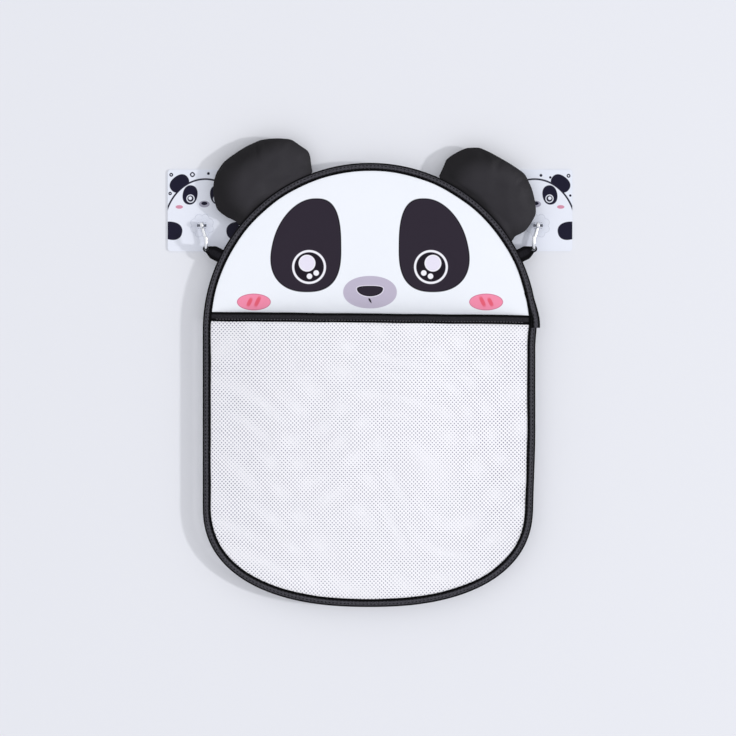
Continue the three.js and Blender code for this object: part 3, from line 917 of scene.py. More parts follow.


# The tapes' crown colours are painted highlight and their own colours painted shade, for light on their
# rounded folds.
TAPE = Tape("black_edge_tape", "#060608", 0.75, drift=0.12, drift_size=6.0, warp=0.62, weft=1.1, depth=0.14,
            sheen=0.02, gloss=0.05, pattern=Pattern.MAP, crown="#525158")
MOUTH_TAPE = replace(TAPE, name="black_mouth_tape", crown="#323136")
# painted highlight on the strap's crown over a painted-shade edge, as for the tapes
WEBBING = Tape("black_webbing", "#0d0c0f", 0.75, drift=0.1, drift_size=4.0, warp=0.85, weft=0.7, depth=0.18,
               sheen=0.02, gloss=0.05, pattern=Pattern.MAP, crown="#232227", period=13.0)
THREAD = Cloth("grey_thread", "#5f5d64", 0.6, drift=0.15, drift_size=3.0, warp=0.3, weft=0.3, depth=0.05)
DARK_THREAD = replace(THREAD, name="dark_thread", colour="#08080a")
PALE_THREAD = replace(THREAD, name="pale_thread", colour="#d3d4da")
# painted light on the ears: a lighter crown and darker rim, the lit part moved towards the lamp's side of
# each ear
LEFT_NYLON = PaddedShadedCloth("left_ear_cloth", "#121014", 0.44, drift=0.16, drift_size=16.0, warp=0.42, weft=0.42,
                         depth=0.05, sheen=0.03, gloss=0.2, pattern=Pattern.MAP, shift=(0.16, -0.2))
RIGHT_NYLON = replace(LEFT_NYLON, name="right_ear_cloth", shift=(-0.22, 0.12))
FACE_CLOTH = FacePrint("printed_face_cloth", "#f3f6fd", 0.62, drift=0.012, drift_size=30.0, warp=0.36,
                       weft=0.36, depth=0.03)
FOAM = Cloth("white_foam", "#f3f2ee", 0.9, drift=0.05, drift_size=2.0, warp=1.1, weft=1.1, depth=0.2)
LINING = Cloth("white_lining", "#eef0f5", 0.72, drift=0.03, drift_size=18.0, warp=0.55, weft=0.55, depth=0.09)
NET = SheerCloth("white_net", "#fbfaff", 0.6, drift=0.02, drift_size=20.0, warp=0.3, weft=0.3, depth=0.02)
# the back net's greyer inner side is painted shade for the inside of the pocket
BACK_NET = replace(NET, name="shaded_net", inner="#b0afbe")
STEEL = Steel("bright_steel", "#fbfcff", 0.28, drift=0.05, drift_size=2.0)
PIN_STEEL = replace(STEEL, name="dark_pin_steel", colour="#6c6e77")
CLEAR = ClearPlastic("clear_moulding", "#939bad", 0.08, drift=0.01, drift_size=4.0, rough_swing=0.05)
GEL = Finish("clear_gel", "#dfe5ee", 0.4, drift=0.05, drift_size=3.0)


# Sub-assemblies


OUTLINE_STEPS = (700, 170, 640)


@dataclass(frozen=True)
class BagShape:
    """The bag's outline: a half circle, straight sides and a rounded bottom, drawn in by an inset.

    The right side leans in on its way down: each lean is a depth and the heights where it starts and is full.
    """

    radius: float
    arc_up: float
    bottom_up: float
    out: float
    bottom: float = 100.0
    power: float = 2.35
    mouth_tilt: float = 0.0102
    leans: tuple[Triple, ...] = ((1.9, -104.0, -136.0), (2.2, -215.0, -305.0))

    @classmethod
    def from_frame(cls) -> "BagShape":
        """The shape whose radius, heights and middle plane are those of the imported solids."""
        low, high = (np.array(corner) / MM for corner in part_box("edge_binding"))
        foam = [np.array(corner)[1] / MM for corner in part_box("face_foam")]
        radius = -low[0]
        return cls(radius, high[2] - radius, low[2] + cls.bottom, -(foam[0] + foam[1]) / 2)

    def outline(self, inset: float, steps: tuple[int, int, int] = OUTLINE_STEPS) -> Array:
        """The outline from the right end of the half circle round to the left.

        Args:
            inset: how far it is drawn in, in millimetres.
            steps: points on the half circle, on a side and on the bottom.

        Returns:
            Places across and up, one a row; the last joins the first.
        """
        reach, deep = self.radius - inset, self.bottom - inset
        spans = ((0, math.pi, steps[0]), (self.arc_up, self.bottom_up, steps[1]),
                 (math.pi, 2 * math.pi, steps[2]), (self.bottom_up, self.arc_up, steps[1]))
        arc, drop, bowl, rise = (np.linspace(*span, endpoint=False) for span in spans)
        lower = powered(spokes(bowl), self.power) * [reach, deep] + [0.0, self.bottom_up]
        whole = np.concatenate([
            reach * spokes(arc) + [0.0, self.arc_up], joined(-reach, drop), lower, joined(reach, rise)])
        pull = sum(depth * ease(whole[:, 1], start, end) for depth, start, end in self.leans)
        whole[:, 0] -= pull * np.sqrt(np.clip(whole[:, 0] / self.radius, 0, 1))
        return whole

    def bottom_at(self, across: Array, inset: float) -> Array:
        """Height of the rounded bottom below a place across, for an outline drawn in by an inset."""
        share = np.clip(np.abs(across) / (self.radius - inset), 0, 1)
        return self.bottom_up - (self.bottom - inset) * (1 - share ** self.power) ** (1 / self.power)

    def point(self, place: Array) -> Triple:
        """A place across and up in the bag's middle plane, as a point in metres."""
        return tuple(placed(place[0], self.out, place[1]))


@dataclass(frozen=True)
class EdgeBinding:
    """The tape folded over the bag's edge and stitched in two rows, lapped on the right side."""

    bag: BagShape
    width: float = 8.0
    half: float = 2.0
    tape: float = 0.6
    insets: tuple[float, ...] = (8.0, 7.7, 7.2, 6.4, 5.6, 4.9, 4.2, 3.6, 2.9, 2.2, 1.4, 0.6, 0.2, 0.0)
    lifts: tuple[float, ...] = (
        1.6, 1.86, 2.0, 2.0, 1.82, 2.02, 2.16, 2.06, 1.86, 2.06, 1.98, 1.56, 0.86, 0.0)
    slot: tuple[float, ...] = (7.9, 4.5, 1.0)
    stitch_insets: Pair = (2.9, 5.6)
    stitch_pitch: float = 3.7
    stitch_lift: float = 1.82
    stitch_size: Triple = (2.0, 1.05, 0.34)
    dimple: float = 0.1
    dimple_width: float = 0.8
    swell: Waves = Waves(0.05, 26, 3)
    waver: Waves = Waves(0.25, 34, 5)
    lap_from: float = 0.7
    lap_to: float = 13.8
    lap_flare: float = 2.6
    last_step: float = 0.8

    def profile(self, extra: float) -> Array:
        """The folded tape's profile.

        Args:
            extra: how far a second layer lies outside the first, in millimetres.

        Returns:
            Insets and offsets from the middle plane, round the tape's outside and back along its inside.
        """
        middle = self.width / 2
        inset, lift = np.array(self.insets), np.array(self.lifts) * (self.half + extra) / self.half
        inset = np.where(inset < middle, inset - extra * (middle - inset) / middle, inset)
        front = joined(inset, lift)
        inner = joined(np.array(self.slot), -(self.half + extra - self.tape))
        return np.concatenate([front, front[-2::-1] * [1, -1], inner, inner[::-1] * [1, -1]])

    @staticmethod
    def lap_fade(share: Array) -> Array:
        """How far the lap stands off the tape: one at its end, and just under the tape where it starts."""
        return 1.1 * (1 - ease(share, 0.0, 1.0)) - 0.1

    def swept(self, part: slice, extra: float, flare: float) -> tuple[Array, Array]:
        """Carries the profile along a part of the outline, puckered by the stitches.

        Args:
            part: which of the outline's points it follows.
            extra: how far a second layer lies outside the first, in millimetres.
            flare: how far the part's first end stands off the outline, easing to nothing at its last.

        Returns:
            Points in metres by place along the outline and round the profile, and the length along it.
        """
        edge, inner = self.bag.outline(0.0), self.bag.outline(self.width)
        run = running_length(placed(edge[:, 0], 0.0, edge[:, 1]), True)[:-1]
        edge, inner, run = edge[part], inner[part], run[part]
        fade = self.lap_fade(np.linspace(0, 1, len(run)))[:, None]
        plain = self.profile(0.0)
        inset, lift = np.moveaxis(plain + (self.profile(extra) - plain) * fade[..., None], -1, 0)
        share = inset / self.width
        near = sum(np.exp(-((inset - row) / self.dimple_width) ** 2) for row in self.stitch_insets)
        held = pulled(run, self.stitch_pitch)[:, None] * near * (np.abs(lift) > 0.75 * self.half)
        swell = 1 + self.swell.at(run[:, None] + 0 * inset, inset * 3)
        out = self.bag.out + lift * (1 - self.dimple * held) * swell
        shift = inset + self.waver.at(run, run * 0)[:, None] * share ** 2 - flare * fade
        drawn = edge[:, None] + (inner - edge)[:, None] / self.width * shift[..., None]
        return placed(drawn[..., 0], out, drawn[..., 1]), run

    def stitches(self, inset: float) -> tuple[Array, Array, Array]:
        """One row of stitches along the tape, on its front and on its back.

        Args:
            inset: how far the row lies inside the outline.

        Returns:
            The stitches' middles in metres, the directions they run in and the directions they stand up in.
        """
        line = self.bag.outline(inset)
        run = running_length(placed(line[:, 0], 0.0, line[:, 1]), True)
        where = np.linspace(0, run[-1], int(run[-1] / self.stitch_pitch), endpoint=False)
        closed = np.vstack([line, line[:1]])
        spots = joined(*(np.interp(where, run, closed[:, i]) for i in (0, 1)))
        ahead = unit(np.roll(spots, -1, axis=0) - np.roll(spots, 1, axis=0))
        polar = np.degrees(np.arctan2(spots[:, 1] - self.bag.arc_up, spots[:, 0]))
        way = (polar - self.lap_from) / (self.lap_to - self.lap_from)
        lapped = np.where((way > 0) & (way < 1), np.maximum(self.lap_fade(way), 0), 0)
        middle = placed(spots[:, 0], self.bag.out, spots[:, 1])
        front = np.tile([0.0, -1.0, 0.0], (len(where), 1))
        along = joined(ahead[:, 0], 0.0, ahead[:, 1])
        return two_faced(middle, along, front, self.stitch_lift + self.tape * lapped)

    def build(self) -> list[Object]:
        """Makes the tape, its lapped end and its stitches.

        Returns:
            The pieces, all riding on the bag.
        """
        points, run = self.swept(slice(None), 0.0, 0.0)
        past = np.append(run, run[-1] + self.last_step)
        whole = Surface().grid(points, past, running_length(points[0], True), (True, True))
        binding = whole.piece("edge_binding_tape", TAPE, outward=True)
        first, last = (round(OUTLINE_STEPS[0] * angle / 180) for angle in (self.lap_from, self.lap_to))
        end = Surface().rod(*self.swept(slice(first, last), self.tape, self.lap_flare))
        lap = end.piece("edge_binding_lap", TAPE, WELD, outward=True)
        rows = zip(*(self.stitches(inset) for inset in self.stitch_insets))
        thread = seams(*(np.concatenate(parts) for parts in rows), self.stitch_size)
        stitching = thread.piece("edge_stitching", DARK_THREAD)
        return [declare(binding, "bag", "edge_binding"),
                *(declare(piece, "bag") for piece in (lap, stitching))]


@dataclass(frozen=True)
class Face:
    """The printed face cloth over thin foam, and the lining behind them."""

    bag: BagShape
    inset: float = 0.9
    mouth_up: float = -101.08
    lining_up: float = -93.08
    centre_up: float = -38.0
    rings: int = 64
    spokes: int = 420
    map_round: float = 900.0
    cloth_out: float = 0.95
    hem: float = 2.6
    puff: float = 1.1
    waves: Waves = Waves(0.22, 70, 11)
    foam_half: float = 0.36
    seam_rise: float = 2.6
    seam_half: float = 152.0
    seam_pitch: float = 3.4
    stitch_size: Triple = (2.4, 0.7, 0.5)

    def disc(self, lower: float) -> tuple[Array, Array, Array]:
        """A polar grid that fills the half circle down to a lower edge.

        Args:
            lower: the height of the lower edge at the middle.

        Returns:
            Places across and up by ring and spoke without the centre, and each ring's share of the way out.
        """
        edge = self.bag.outline(self.inset)
        edge[:, 1] = np.maximum(edge[:, 1], lower - self.bag.mouth_tilt * edge[:, 0])
        turn = circle(self.spokes) - math.pi
        there = np.arctan2(edge[:, 1] - self.centre_up, edge[:, 0])
        order = np.argsort(there)
        far = np.hypot(edge[:, 0], edge[:, 1] - self.centre_up)[order]
        reach = np.interp(turn, there[order], far, period=2 * math.pi)
        share = np.linspace(0, 1, self.rings + 1)[1:, None]
        return share * reach * np.cos(turn), self.centre_up + share * reach * np.sin(turn), share + 0 * turn

    def swell(self, across: Array, up: Array, share: Array) -> Array:
        """How far the padded face stands proud: a low dome with slow unevenness, flat at its edge."""
        return (1 - share ** 4) * self.puff + self.waves.at(across, up) * (1 - share ** 6)

    def filled(self, surface: Surface, points: Array, flip: bool) -> Surface:
        """Adds a polar grid and its closed centre to a surface.

        Args:
            surface: the surface that takes them.
            points: the grid's points in metres, by ring and spoke.
            flip: whether it faces the wall.

        Returns:
            The surface itself.
        """
        around = np.linspace(0, self.map_round, self.spokes + 1)
        surface.grid(points, running_length(points[:, 0], False), around, (False, True), flip)
        return surface.fan(points[0], np.array([0.0, points[0, :, 1].mean(), self.centre_up * MM]), flip)

    def sheet(self, name: str, lower: float, out: float, follow: float, finish: Finish) -> Object:
        """One cloth of the face.

        Args:
            name: the piece's name.
            lower: the height of its lower edge.
            out: its distance from the bag's middle plane at its edge; a lining's is negative.
            follow: how much of the padding's swell it follows.
            finish: its finish.

        Returns:
            The piece, with its flat size logged.
        """
        across, up, share = self.disc(lower)
        lift = self.bag.out + out + follow * self.swell(across, up, share)
        surface = self.filled(Surface(), placed(across, lift, up), out < 0)
        return stretched(surface.piece(name, finish, WELD), joined(across[-1], up[-1]))

    def foam(self) -> Object:
        """The foam between the cloths: two faces that meet in a rounded rim."""
        across, up, share = self.disc(self.mouth_up)
        surface = Surface()
        rim = np.sqrt(np.clip(1 - share ** 40, 0, 1))
        swell = self.swell(across, up, share)
        for sign, follow in ((1, 0.9), (-1, 0.0)):
            lift = self.bag.out + (sign * self.foam_half + follow * swell) * rim
            self.filled(surface, placed(across, lift, up), sign < 0)
        made = surface.piece("face_foam_pad", FOAM, WELD, outward=True)
        return made

    def lining_seam(self) -> Object:
        """The stitches that join the lining to the back net, a straight row on the side of the wall."""
        across = np.arange(-self.seam_half, self.seam_half + 0.5, self.seam_pitch)
        up = self.lining_up + self.seam_rise - self.bag.mouth_tilt * across
        centres = placed(across, self.bag.out - self.cloth_out, up)
        ways = ((1.0, 0.0, -self.bag.mouth_tilt), (0.0, 1.0, 0.0))
        along, lift = (np.tile(way, (len(across), 1)) for way in ways)
        return seams(centres, along, lift, self.stitch_size).piece("lining_stitching", PALE_THREAD)

    def build(self) -> list[Object]:
        """Makes the printed cloth, the foam, the lining and its seam.

        Returns:
            The pieces, all riding on the bag.
        """
        front = self.sheet("printed_face", self.mouth_up - self.hem, self.cloth_out, 1.0, FACE_CLOTH)
        foam = self.foam()
        lining = self.sheet("face_lining_cloth", self.lining_up, -self.cloth_out, -0.25, LINING)
        return [declare(front, "bag", "face_panel"),
                declare(foam, "bag", "face_foam"),
                declare(lining, "bag", "face_lining"),
                declare(self.lining_seam(), "bag")]


@dataclass(frozen=True)
class Pocket:
    """The net pocket: a bowed front net, a flat back net and the tape over the mouth."""

    bag: BagShape
    mouth_up: float = -101.379
    net_out: float = 14.4
    half_width: float = 154.85
    bow_depth: float = 14.0
    seam_inset: float = 8.3
    net_inset: float = 2.4
    net_up: float = -102.28
    back_up: float = -90.6
    back_behind: float = 0.9
    back_seam: Triple = (20.0, 4.0, 0.3)
    pitch_across: float = 3.68
    pitch_up: float = 3.82
    hole: float = 0.69
    hole_more: float = 0.12
    back_grown: float = 1.1
    widest_from: float = 60.0
    laid_out: Pair = (400.0, 700.0)
    cut_steps: tuple[int, int, int] = (180, 40, 160)
    knot_rise: float = 0.3
    slides: Pair = (1 / 31, 1 / 29)
    rising_way: Pair = (0.8, 0.6)
    rising_waves: Waves = Waves(30.0, 120, 71)
    falling_waves: Waves = Waves(28.0, 130, 72)
    row_waves: tuple[Waves, Waves] = (Waves(0.5, 150, 60), Waves(0.5, 150, 61))
    front_waves: Waves = Waves(0.9, 85, 21)
    back_waves: Waves = Waves(0.25, 90, 22)
    mouth_waves: Waves = Waves(0.25, 60, 31)
    mouth_drops: tuple[float, ...] = (9.2, 8.9, 8.2, 7.6, 7.0, 6.4, 5.4, 4.2, 3.0, 2.0, 1.2, 0.5, 0.12, 0.0)
    mouth_lifts: tuple[float, ...] = (
        0.85, 1.06, 1.12, 1.06, 0.98, 1.06, 1.17, 1.22, 1.22, 1.18, 1.1, 0.86, 0.45, 0.0)
    mouth_slot: tuple[Pair, ...] = ((9.1, -0.5), (0.9, -0.5), (0.9, 0.5), (9.1, 0.5))
    mouth_past: float = 2.8
    mouth_thin: Triple = (0.62, 150.0, 156.0)
    mouth_steps: int = 620
    dimple: float = 0.12
    dimple_width: float = 1.1
    stitched: Pair = (8.0, 7.0)
    stitch_down: float = 7.0
    stitch_pitch: float = 3.0
    stitch_lift: float = 0.98
    stitch_size: Triple = (2.1, 0.7, 0.32)

    def bow(self, across: Array, up: Array | float) -> Array:
        """Forward bow of the front: a parabola across, a quarter sine from the bottom seam to the mouth."""
        low = self.bag.bottom_at(across, self.seam_inset)
        rise = np.clip((up - low) / (self.net_up - low), 0, 1)
        level = 1 - np.clip(np.abs(across) / self.half_width, 0, 1) ** 2
        return self.bow_depth * level * np.sin(math.pi / 2 * rise)

    def laid(self, cells: Array, slides: Pair) -> Array:
        """Places of lattice cells.

        Args:
            cells: the cells' column and row numbers; a net's holes have an even sum.
            slides: by what share of a cell the lattice slides along its rising and its falling diagonal for
                each millimetre of way.

        Returns:
            Places across and up in millimetres.
        """
        half = np.array([self.pitch_across, self.pitch_up]) / 2
        flat = cells * half + [0.0, (self.mouth_up + self.bag.bottom_up - self.bag.bottom) / 2]
        x, up = flat.T
        rising = slides[0] * (flat @ self.rising_way + self.rising_waves.at(x, up))
        falling = slides[1] * (self.falling_waves.at(x, up) - up)
        return flat + rising[:, None] * half + falling[:, None] * half * [1, -1]

    def lattice(self, slides: Pair, top: float, grown: float) -> tuple[Array, Array]:
        """Knitted net as diamond cells, each with an eight-cornered hole.

        Args:
            slides: how the lattice slides, as for its cells' places.
            top: the height that its holes stay under at the middle.
            grown: how many times as large its holes are as the front's.

        Returns:
            Points across and up with a third number that is one on a knot and zero at a hole, and the
            five-cornered faces, four for each cell.
        """
        columns, rows = int(self.laid_out[0] / self.pitch_across), int(self.laid_out[1] / self.pitch_up)
        i, j = np.meshgrid(np.arange(-columns, columns + 1), np.arange(-rows, rows + 1), indexing="ij")
        cells = joined(i, j)[(i + j) % 2 == 0]
        middle = self.laid(cells, slides)
        ground = self.bag.outline(self.net_inset, self.cut_steps)
        kept = within(middle, ground) & (middle[:, 1] < top - self.bag.mouth_tilt * middle[:, 0])
        cells, middle = cells[kept], middle[kept]
        corner = cells[:, None] + np.array([[1, 0], [0, 1], [-1, 0], [0, -1]])
        knots, index = np.unique(corner.reshape(-1, 2), axis=0, return_inverse=True)
        index = index.reshape(-1, 4)
        aside = ease(np.abs(middle[:, 0]), self.widest_from, self.half_width)
        hole = grown * (self.hole + self.hole_more * aside)
        holes = (middle[:, None] + hole[:, None, None] * spokes(circle(8))).reshape(-1, 2)
        first = len(knots) + np.arange(len(middle)) * 8
        faces = np.stack([
            joined(index[:, k], index[:, (k + 1) % 4],
                   first + (2 * k + 2) % 8, first + 2 * k + 1, first + 2 * k) for k in range(4)], axis=1)
        places = np.concatenate([self.laid(knots, slides), holes])
        lift = np.repeat([1.0, 0.0], (len(knots), len(holes)))
        return np.column_stack([places, lift]), faces.reshape(-1, 5)

    def net(self, name: str, front: bool) -> Object:
        """One net of the pocket.

        Args:
            name: the piece's name.
            front: whether it is the bowed front, whose lattice doesn't slide.

        Returns:
            The piece, with its flat size logged.
        """
        top, slides, grown, finish = ((self.net_up, (0.0, 0.0), 1.0, NET) if front else
                                      (self.back_up, self.slides, self.back_grown, BACK_NET))
        points, faces = self.lattice(slides, top - 1.0, grown)
        across, up = (points[:, i] + waves.at(*points.T[:2]) for i, waves in enumerate(self.row_waves))
        if front:
            bow = self.bow(across, up)
            out = self.net_out + bow + self.front_waves.at(across, up * 0.6) * bow / self.bow_depth
        else:
            start, full, rise = self.back_seam
            seam = ease(up, top - start, top - full)
            out = self.bag.out - self.back_behind + self.back_waves.at(across, up) * (1 - seam) + rise * seam
        out = out + (points[:, 2] - 0.5) * self.knot_rise
        surface = Surface().polygons(placed(across, out, up), faces, points[faces][..., :2], flip=not front)
        rim = self.bag.outline(self.net_inset)
        rim[:, 1] = np.minimum(rim[:, 1], top)
        return stretched(surface.piece(name, finish), rim)

    def mouth(self) -> tuple[Object, Object]:
        """The tape folded over the mouth, its profile carried along the bow, and its stitches.

        Returns:
            The tape and the stitching.
        """
        reach = self.half_width + self.mouth_past
        across = np.linspace(-reach, reach, self.mouth_steps)
        thinner, *span = self.mouth_thin
        thin = 1 - thinner * ease(np.abs(across), *span)
        top = self.mouth_up - self.bag.mouth_tilt * across + self.mouth_waves.at(across, across * 0)
        bow = self.bow(across, self.net_up)
        slope = np.gradient(bow, across)
        front = np.stack([self.mouth_drops, self.mouth_lifts], axis=-1)
        drop, lift = np.concatenate([front, front[-2::-1] * [1, -1], self.mouth_slot]).T
        run = running_length(placed(across, self.net_out + bow, top), False)
        near = np.exp(-((drop - self.stitch_down) / self.dimple_width) ** 2) * (np.abs(lift) > 0.7)
        lift = lift * thin[:, None] * (1 - self.dimple * pulled(run, self.stitch_pitch)[:, None] * near)
        normal = unit(joined(-slope, 1.0))
        points = placed(across[:, None] + normal[:, :1] * lift,
                        self.net_out + bow[:, None] + normal[:, 1:] * lift, top[:, None] - drop)
        tape = Surface().rod(points, run).piece("mouth_binding_tape", MOUTH_TAPE, WELD, outward=True)
        where = np.arange(self.stitched[0], run[-1] - self.stitched[1], self.stitch_pitch)
        x, out, up, lean = (np.interp(where, run, values) for values in (across, bow, top, slope))
        along = unit(joined(1.0, -lean, -self.bag.mouth_tilt))
        lifts = unit(np.cross(along, [0.0, 0.0, 1.0]))
        lifts *= np.where(lifts[:, 1:2] > 0, -1, 1)
        middle = placed(x, self.net_out + out, up - self.stitch_down)
        beads = seams(*two_faced(middle, along, lifts, self.stitch_lift), self.stitch_size)
        return tape, beads.piece("mouth_stitching", THREAD)

    def build(self) -> list[Object]:
        """Makes both nets, the mouth's tape and its stitches.

        Returns:
            The pieces, all riding on the bag.
        """
        front, back = self.net("front_net_knit", True), self.net("back_net_knit", False)
        mouth, stitching = self.mouth()
        return [declare(front, "bag", "front_net"), declare(back, "bag", "back_net"),
                declare(mouth, "bag", "mouth_binding"),
                declare(stitching, "bag")]


BLOW_UP = {
    "quality": 6, "mass": 0.12, "tension_stiffness": 12, "compression_stiffness": 12,
    "bending_stiffness": 0.25, "use_pressure": True, "uniform_pressure_force": 4.0,
}


@dataclass(frozen=True)
class Ear:
    """A padded ear of two plies, blown up by a short cloth simulation and sewn into the binding."""

    side: Side
    bag: BagShape
    turn: float
    outline: tuple[Pair, ...]
    cloth: Finish
    columns: int = 41
    start: float = 1.6
    crown: float = 5.4
    flatness: float = 0.8
    middle: float = 17.0
    tuck: float = 1.6
    map_size: float = 106.0
    held_below: float = 3.0
    frames: int = 20
    most_moved: float = 6.0
    loose: Pair = (0.05, 0.6)
    puckers: Waves = Waves(0.3, 13, 50)
    pucker_band: Pair = (0.2, 0.18)
    creases: Waves = Waves(0.8, 30, 40)
    bend: Pair = (-2.0, 7.0)

    def axes(self) -> tuple[Array, Array, Array]:
        """The ear's base middle, its direction towards the bag's top and its direction outwards."""
        outward = spokes(math.radians(self.turn))
        toward_top = outward[::-1] * [-self.side.value, self.side.value]
        return np.array([0.0, self.bag.arc_up]) + self.bag.radius * outward, toward_top, outward

    def rim(self) -> Array:
        """The outline: a closed spline through the measured corners and along the base inside the binding."""
        corners = np.array(self.outline)
        base = np.linspace(corners[-1, 0], corners[0, 0], 9)[1:-1]
        inner = self.bag.radius - self.tuck
        loop = np.concatenate([corners, joined(base, np.sqrt(inner ** 2 - base ** 2) - self.bag.radius)])
        a, b, c, d = (np.roll(loop, shift, axis=0)[:, None] for shift in (1, 0, -1, -2))
        t = np.linspace(0, 1, 24, endpoint=False)[None, :, None]
        curve = 0.5 * (2 * b + (c - a) * t + (2 * a - 5 * b + 4 * c - d) * t ** 2
                       + (3 * b - a - 3 * c + d) * t ** 3)
        return curve.reshape(-1, 2)

    def plies(self) -> tuple[Array, Array, Array]:
        """A square grid drawn into the outline, x = u sqrt(1 - v^2 / 2) and likewise y, out to the rim.

        Returns:
            Tangent and outward places by row and column, and the share of the way from middle to rim.
        """
        u, v = np.meshgrid(*[np.linspace(-1, 1, self.columns)] * 2, indexing="ij")
        x, y = u * np.sqrt(1 - v ** 2 / 2), v * np.sqrt(1 - u ** 2 / 2)
        rim = self.rim() - [0.0, self.middle]
        angle = np.arctan2(rim[:, 1], rim[:, 0])
        order = np.argsort(angle)
        far = np.interp(np.arctan2(y, x), angle[order], np.hypot(*rim.T)[order], period=2 * math.pi)
        return x * far, y * far + self.middle, np.hypot(x, y)

    def swollen(self, piece: Object, outward: Array) -> Array:
        """Blows the ear up with Cloth pressure, held along its base.

        Args:
            piece: the flat ear.
            outward: each vertex's distance out from the binding, in millimetres.

        Returns:
            The vertices' new places in metres, none more than a few millimetres away.
        """
        rest = vertices(piece.data)
        held = piece.vertex_groups.new(name="held")
        held.add(np.flatnonzero(outward < self.held_below).tolist(), 1.0, "REPLACE")
        cloth = piece.modifiers.new("blow_up", "CLOTH")
        for key, value in BLOW_UP.items():
            setattr(cloth.settings, key, value)
        cloth.settings.vertex_group_mass = held.name
        cloth.settings.effector_weights.gravity = 0.0
        scene = bpy.context.scene
        for number in range(1, self.frames + 1):
            scene.frame_set(number)
        shown = piece.evaluated_get(bpy.context.evaluated_depsgraph_get())
        shift = vertices(shown.to_mesh()) - rest
        piece.modifiers.remove(cloth)
        piece.vertex_groups.remove(held)
        scene.frame_set(1)
        size = np.linalg.norm(shift, axis=1, keepdims=True)
        return rest + shift * np.minimum(1.0, self.most_moved * MM / np.maximum(size, 1e-9))

    def filled(self, places: Array, inner: Array) -> Array:
        """Gives the ear its final thickness: full in the middle, with creases, and puckered near the rim.

        Args:
            places: the vertices' places in metres.
            inner: how far in from the rim each one lies, from zero to one.

        Returns:
            The vertices' distances from the bag's middle plane, in millimetres.
        """
        base, toward_top, outward = self.axes()
        depth = -places[:, 1] / MM - self.bag.out
        fullness = np.abs(depth) / max(1e-6, float(np.abs(depth).max()))
        along, far = ((places[:, [0, 2]] / MM - base) @ joined(toward_top, outward)).T
        around = np.arctan2(far - self.middle, along)
        puckers, creases = (replace(waves, seed=waves.seed + self.side.value)
                            for waves in (self.puckers, self.creases))
        near_rim = np.exp(-((inner - self.pucker_band[0]) / self.pucker_band[1]) ** 2)
        pucker = puckers.at(around * 40, inner * 20) * near_rim
        crease = creases.at(along, far * 1.5) * fullness
        return np.sign(depth) * (self.crown * fullness ** self.flatness * (1 + pucker) + crease)

    def build(self) -> list[Object]:
        """Makes the ear.

        Returns:
            The one piece.
        """
        word = self.side.word
        base, toward_top, outward = self.axes()
        tangent, reach, share = self.plies()
        flat = base + tangent[..., None] * toward_top + reach[..., None] * outward
        steps = np.linspace(0, self.map_size, self.columns)
        surface = Surface()
        for sign in (1, -1):
            out = self.bag.out + sign * self.start * (1 - share ** 2)
            points = placed(flat[..., 0], out, flat[..., 1])
            surface.grid(points, steps, steps, flip=(sign * self.side.value) < 0)
        piece = surface.piece(f"{word}_ear_padded", self.cloth, weld=0.01, outward=True)
        places = vertices(piece.data)
        radial = np.hypot(places[:, 0] / MM, places[:, 2] / MM - self.bag.arc_up) - self.bag.radius
        inner = np.abs(-places[:, 1] / MM - self.bag.out) / self.start
        loose = ease(inner, *self.loose)[:, None] * [1, 0, 1] + [0, 1, 0]
        places = places + (self.swollen(piece, radial) - places) * loose
        places[:, 1] = -(self.bag.out + self.filled(places, inner)) * MM
        piece.data.vertices.foreach_set("co", places.ravel())
        piece.data.update()
        soften = piece.modifiers.new("soften", "SUBSURF")
        soften.levels = soften.render_levels = 1
        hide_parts(*(f"{word}_ear_{part}" for part in ("front", "back", "padding")))
        start, end = (self.bag.point(base + outward * distance) for distance in self.bend)
        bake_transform(piece)
        return [piece]


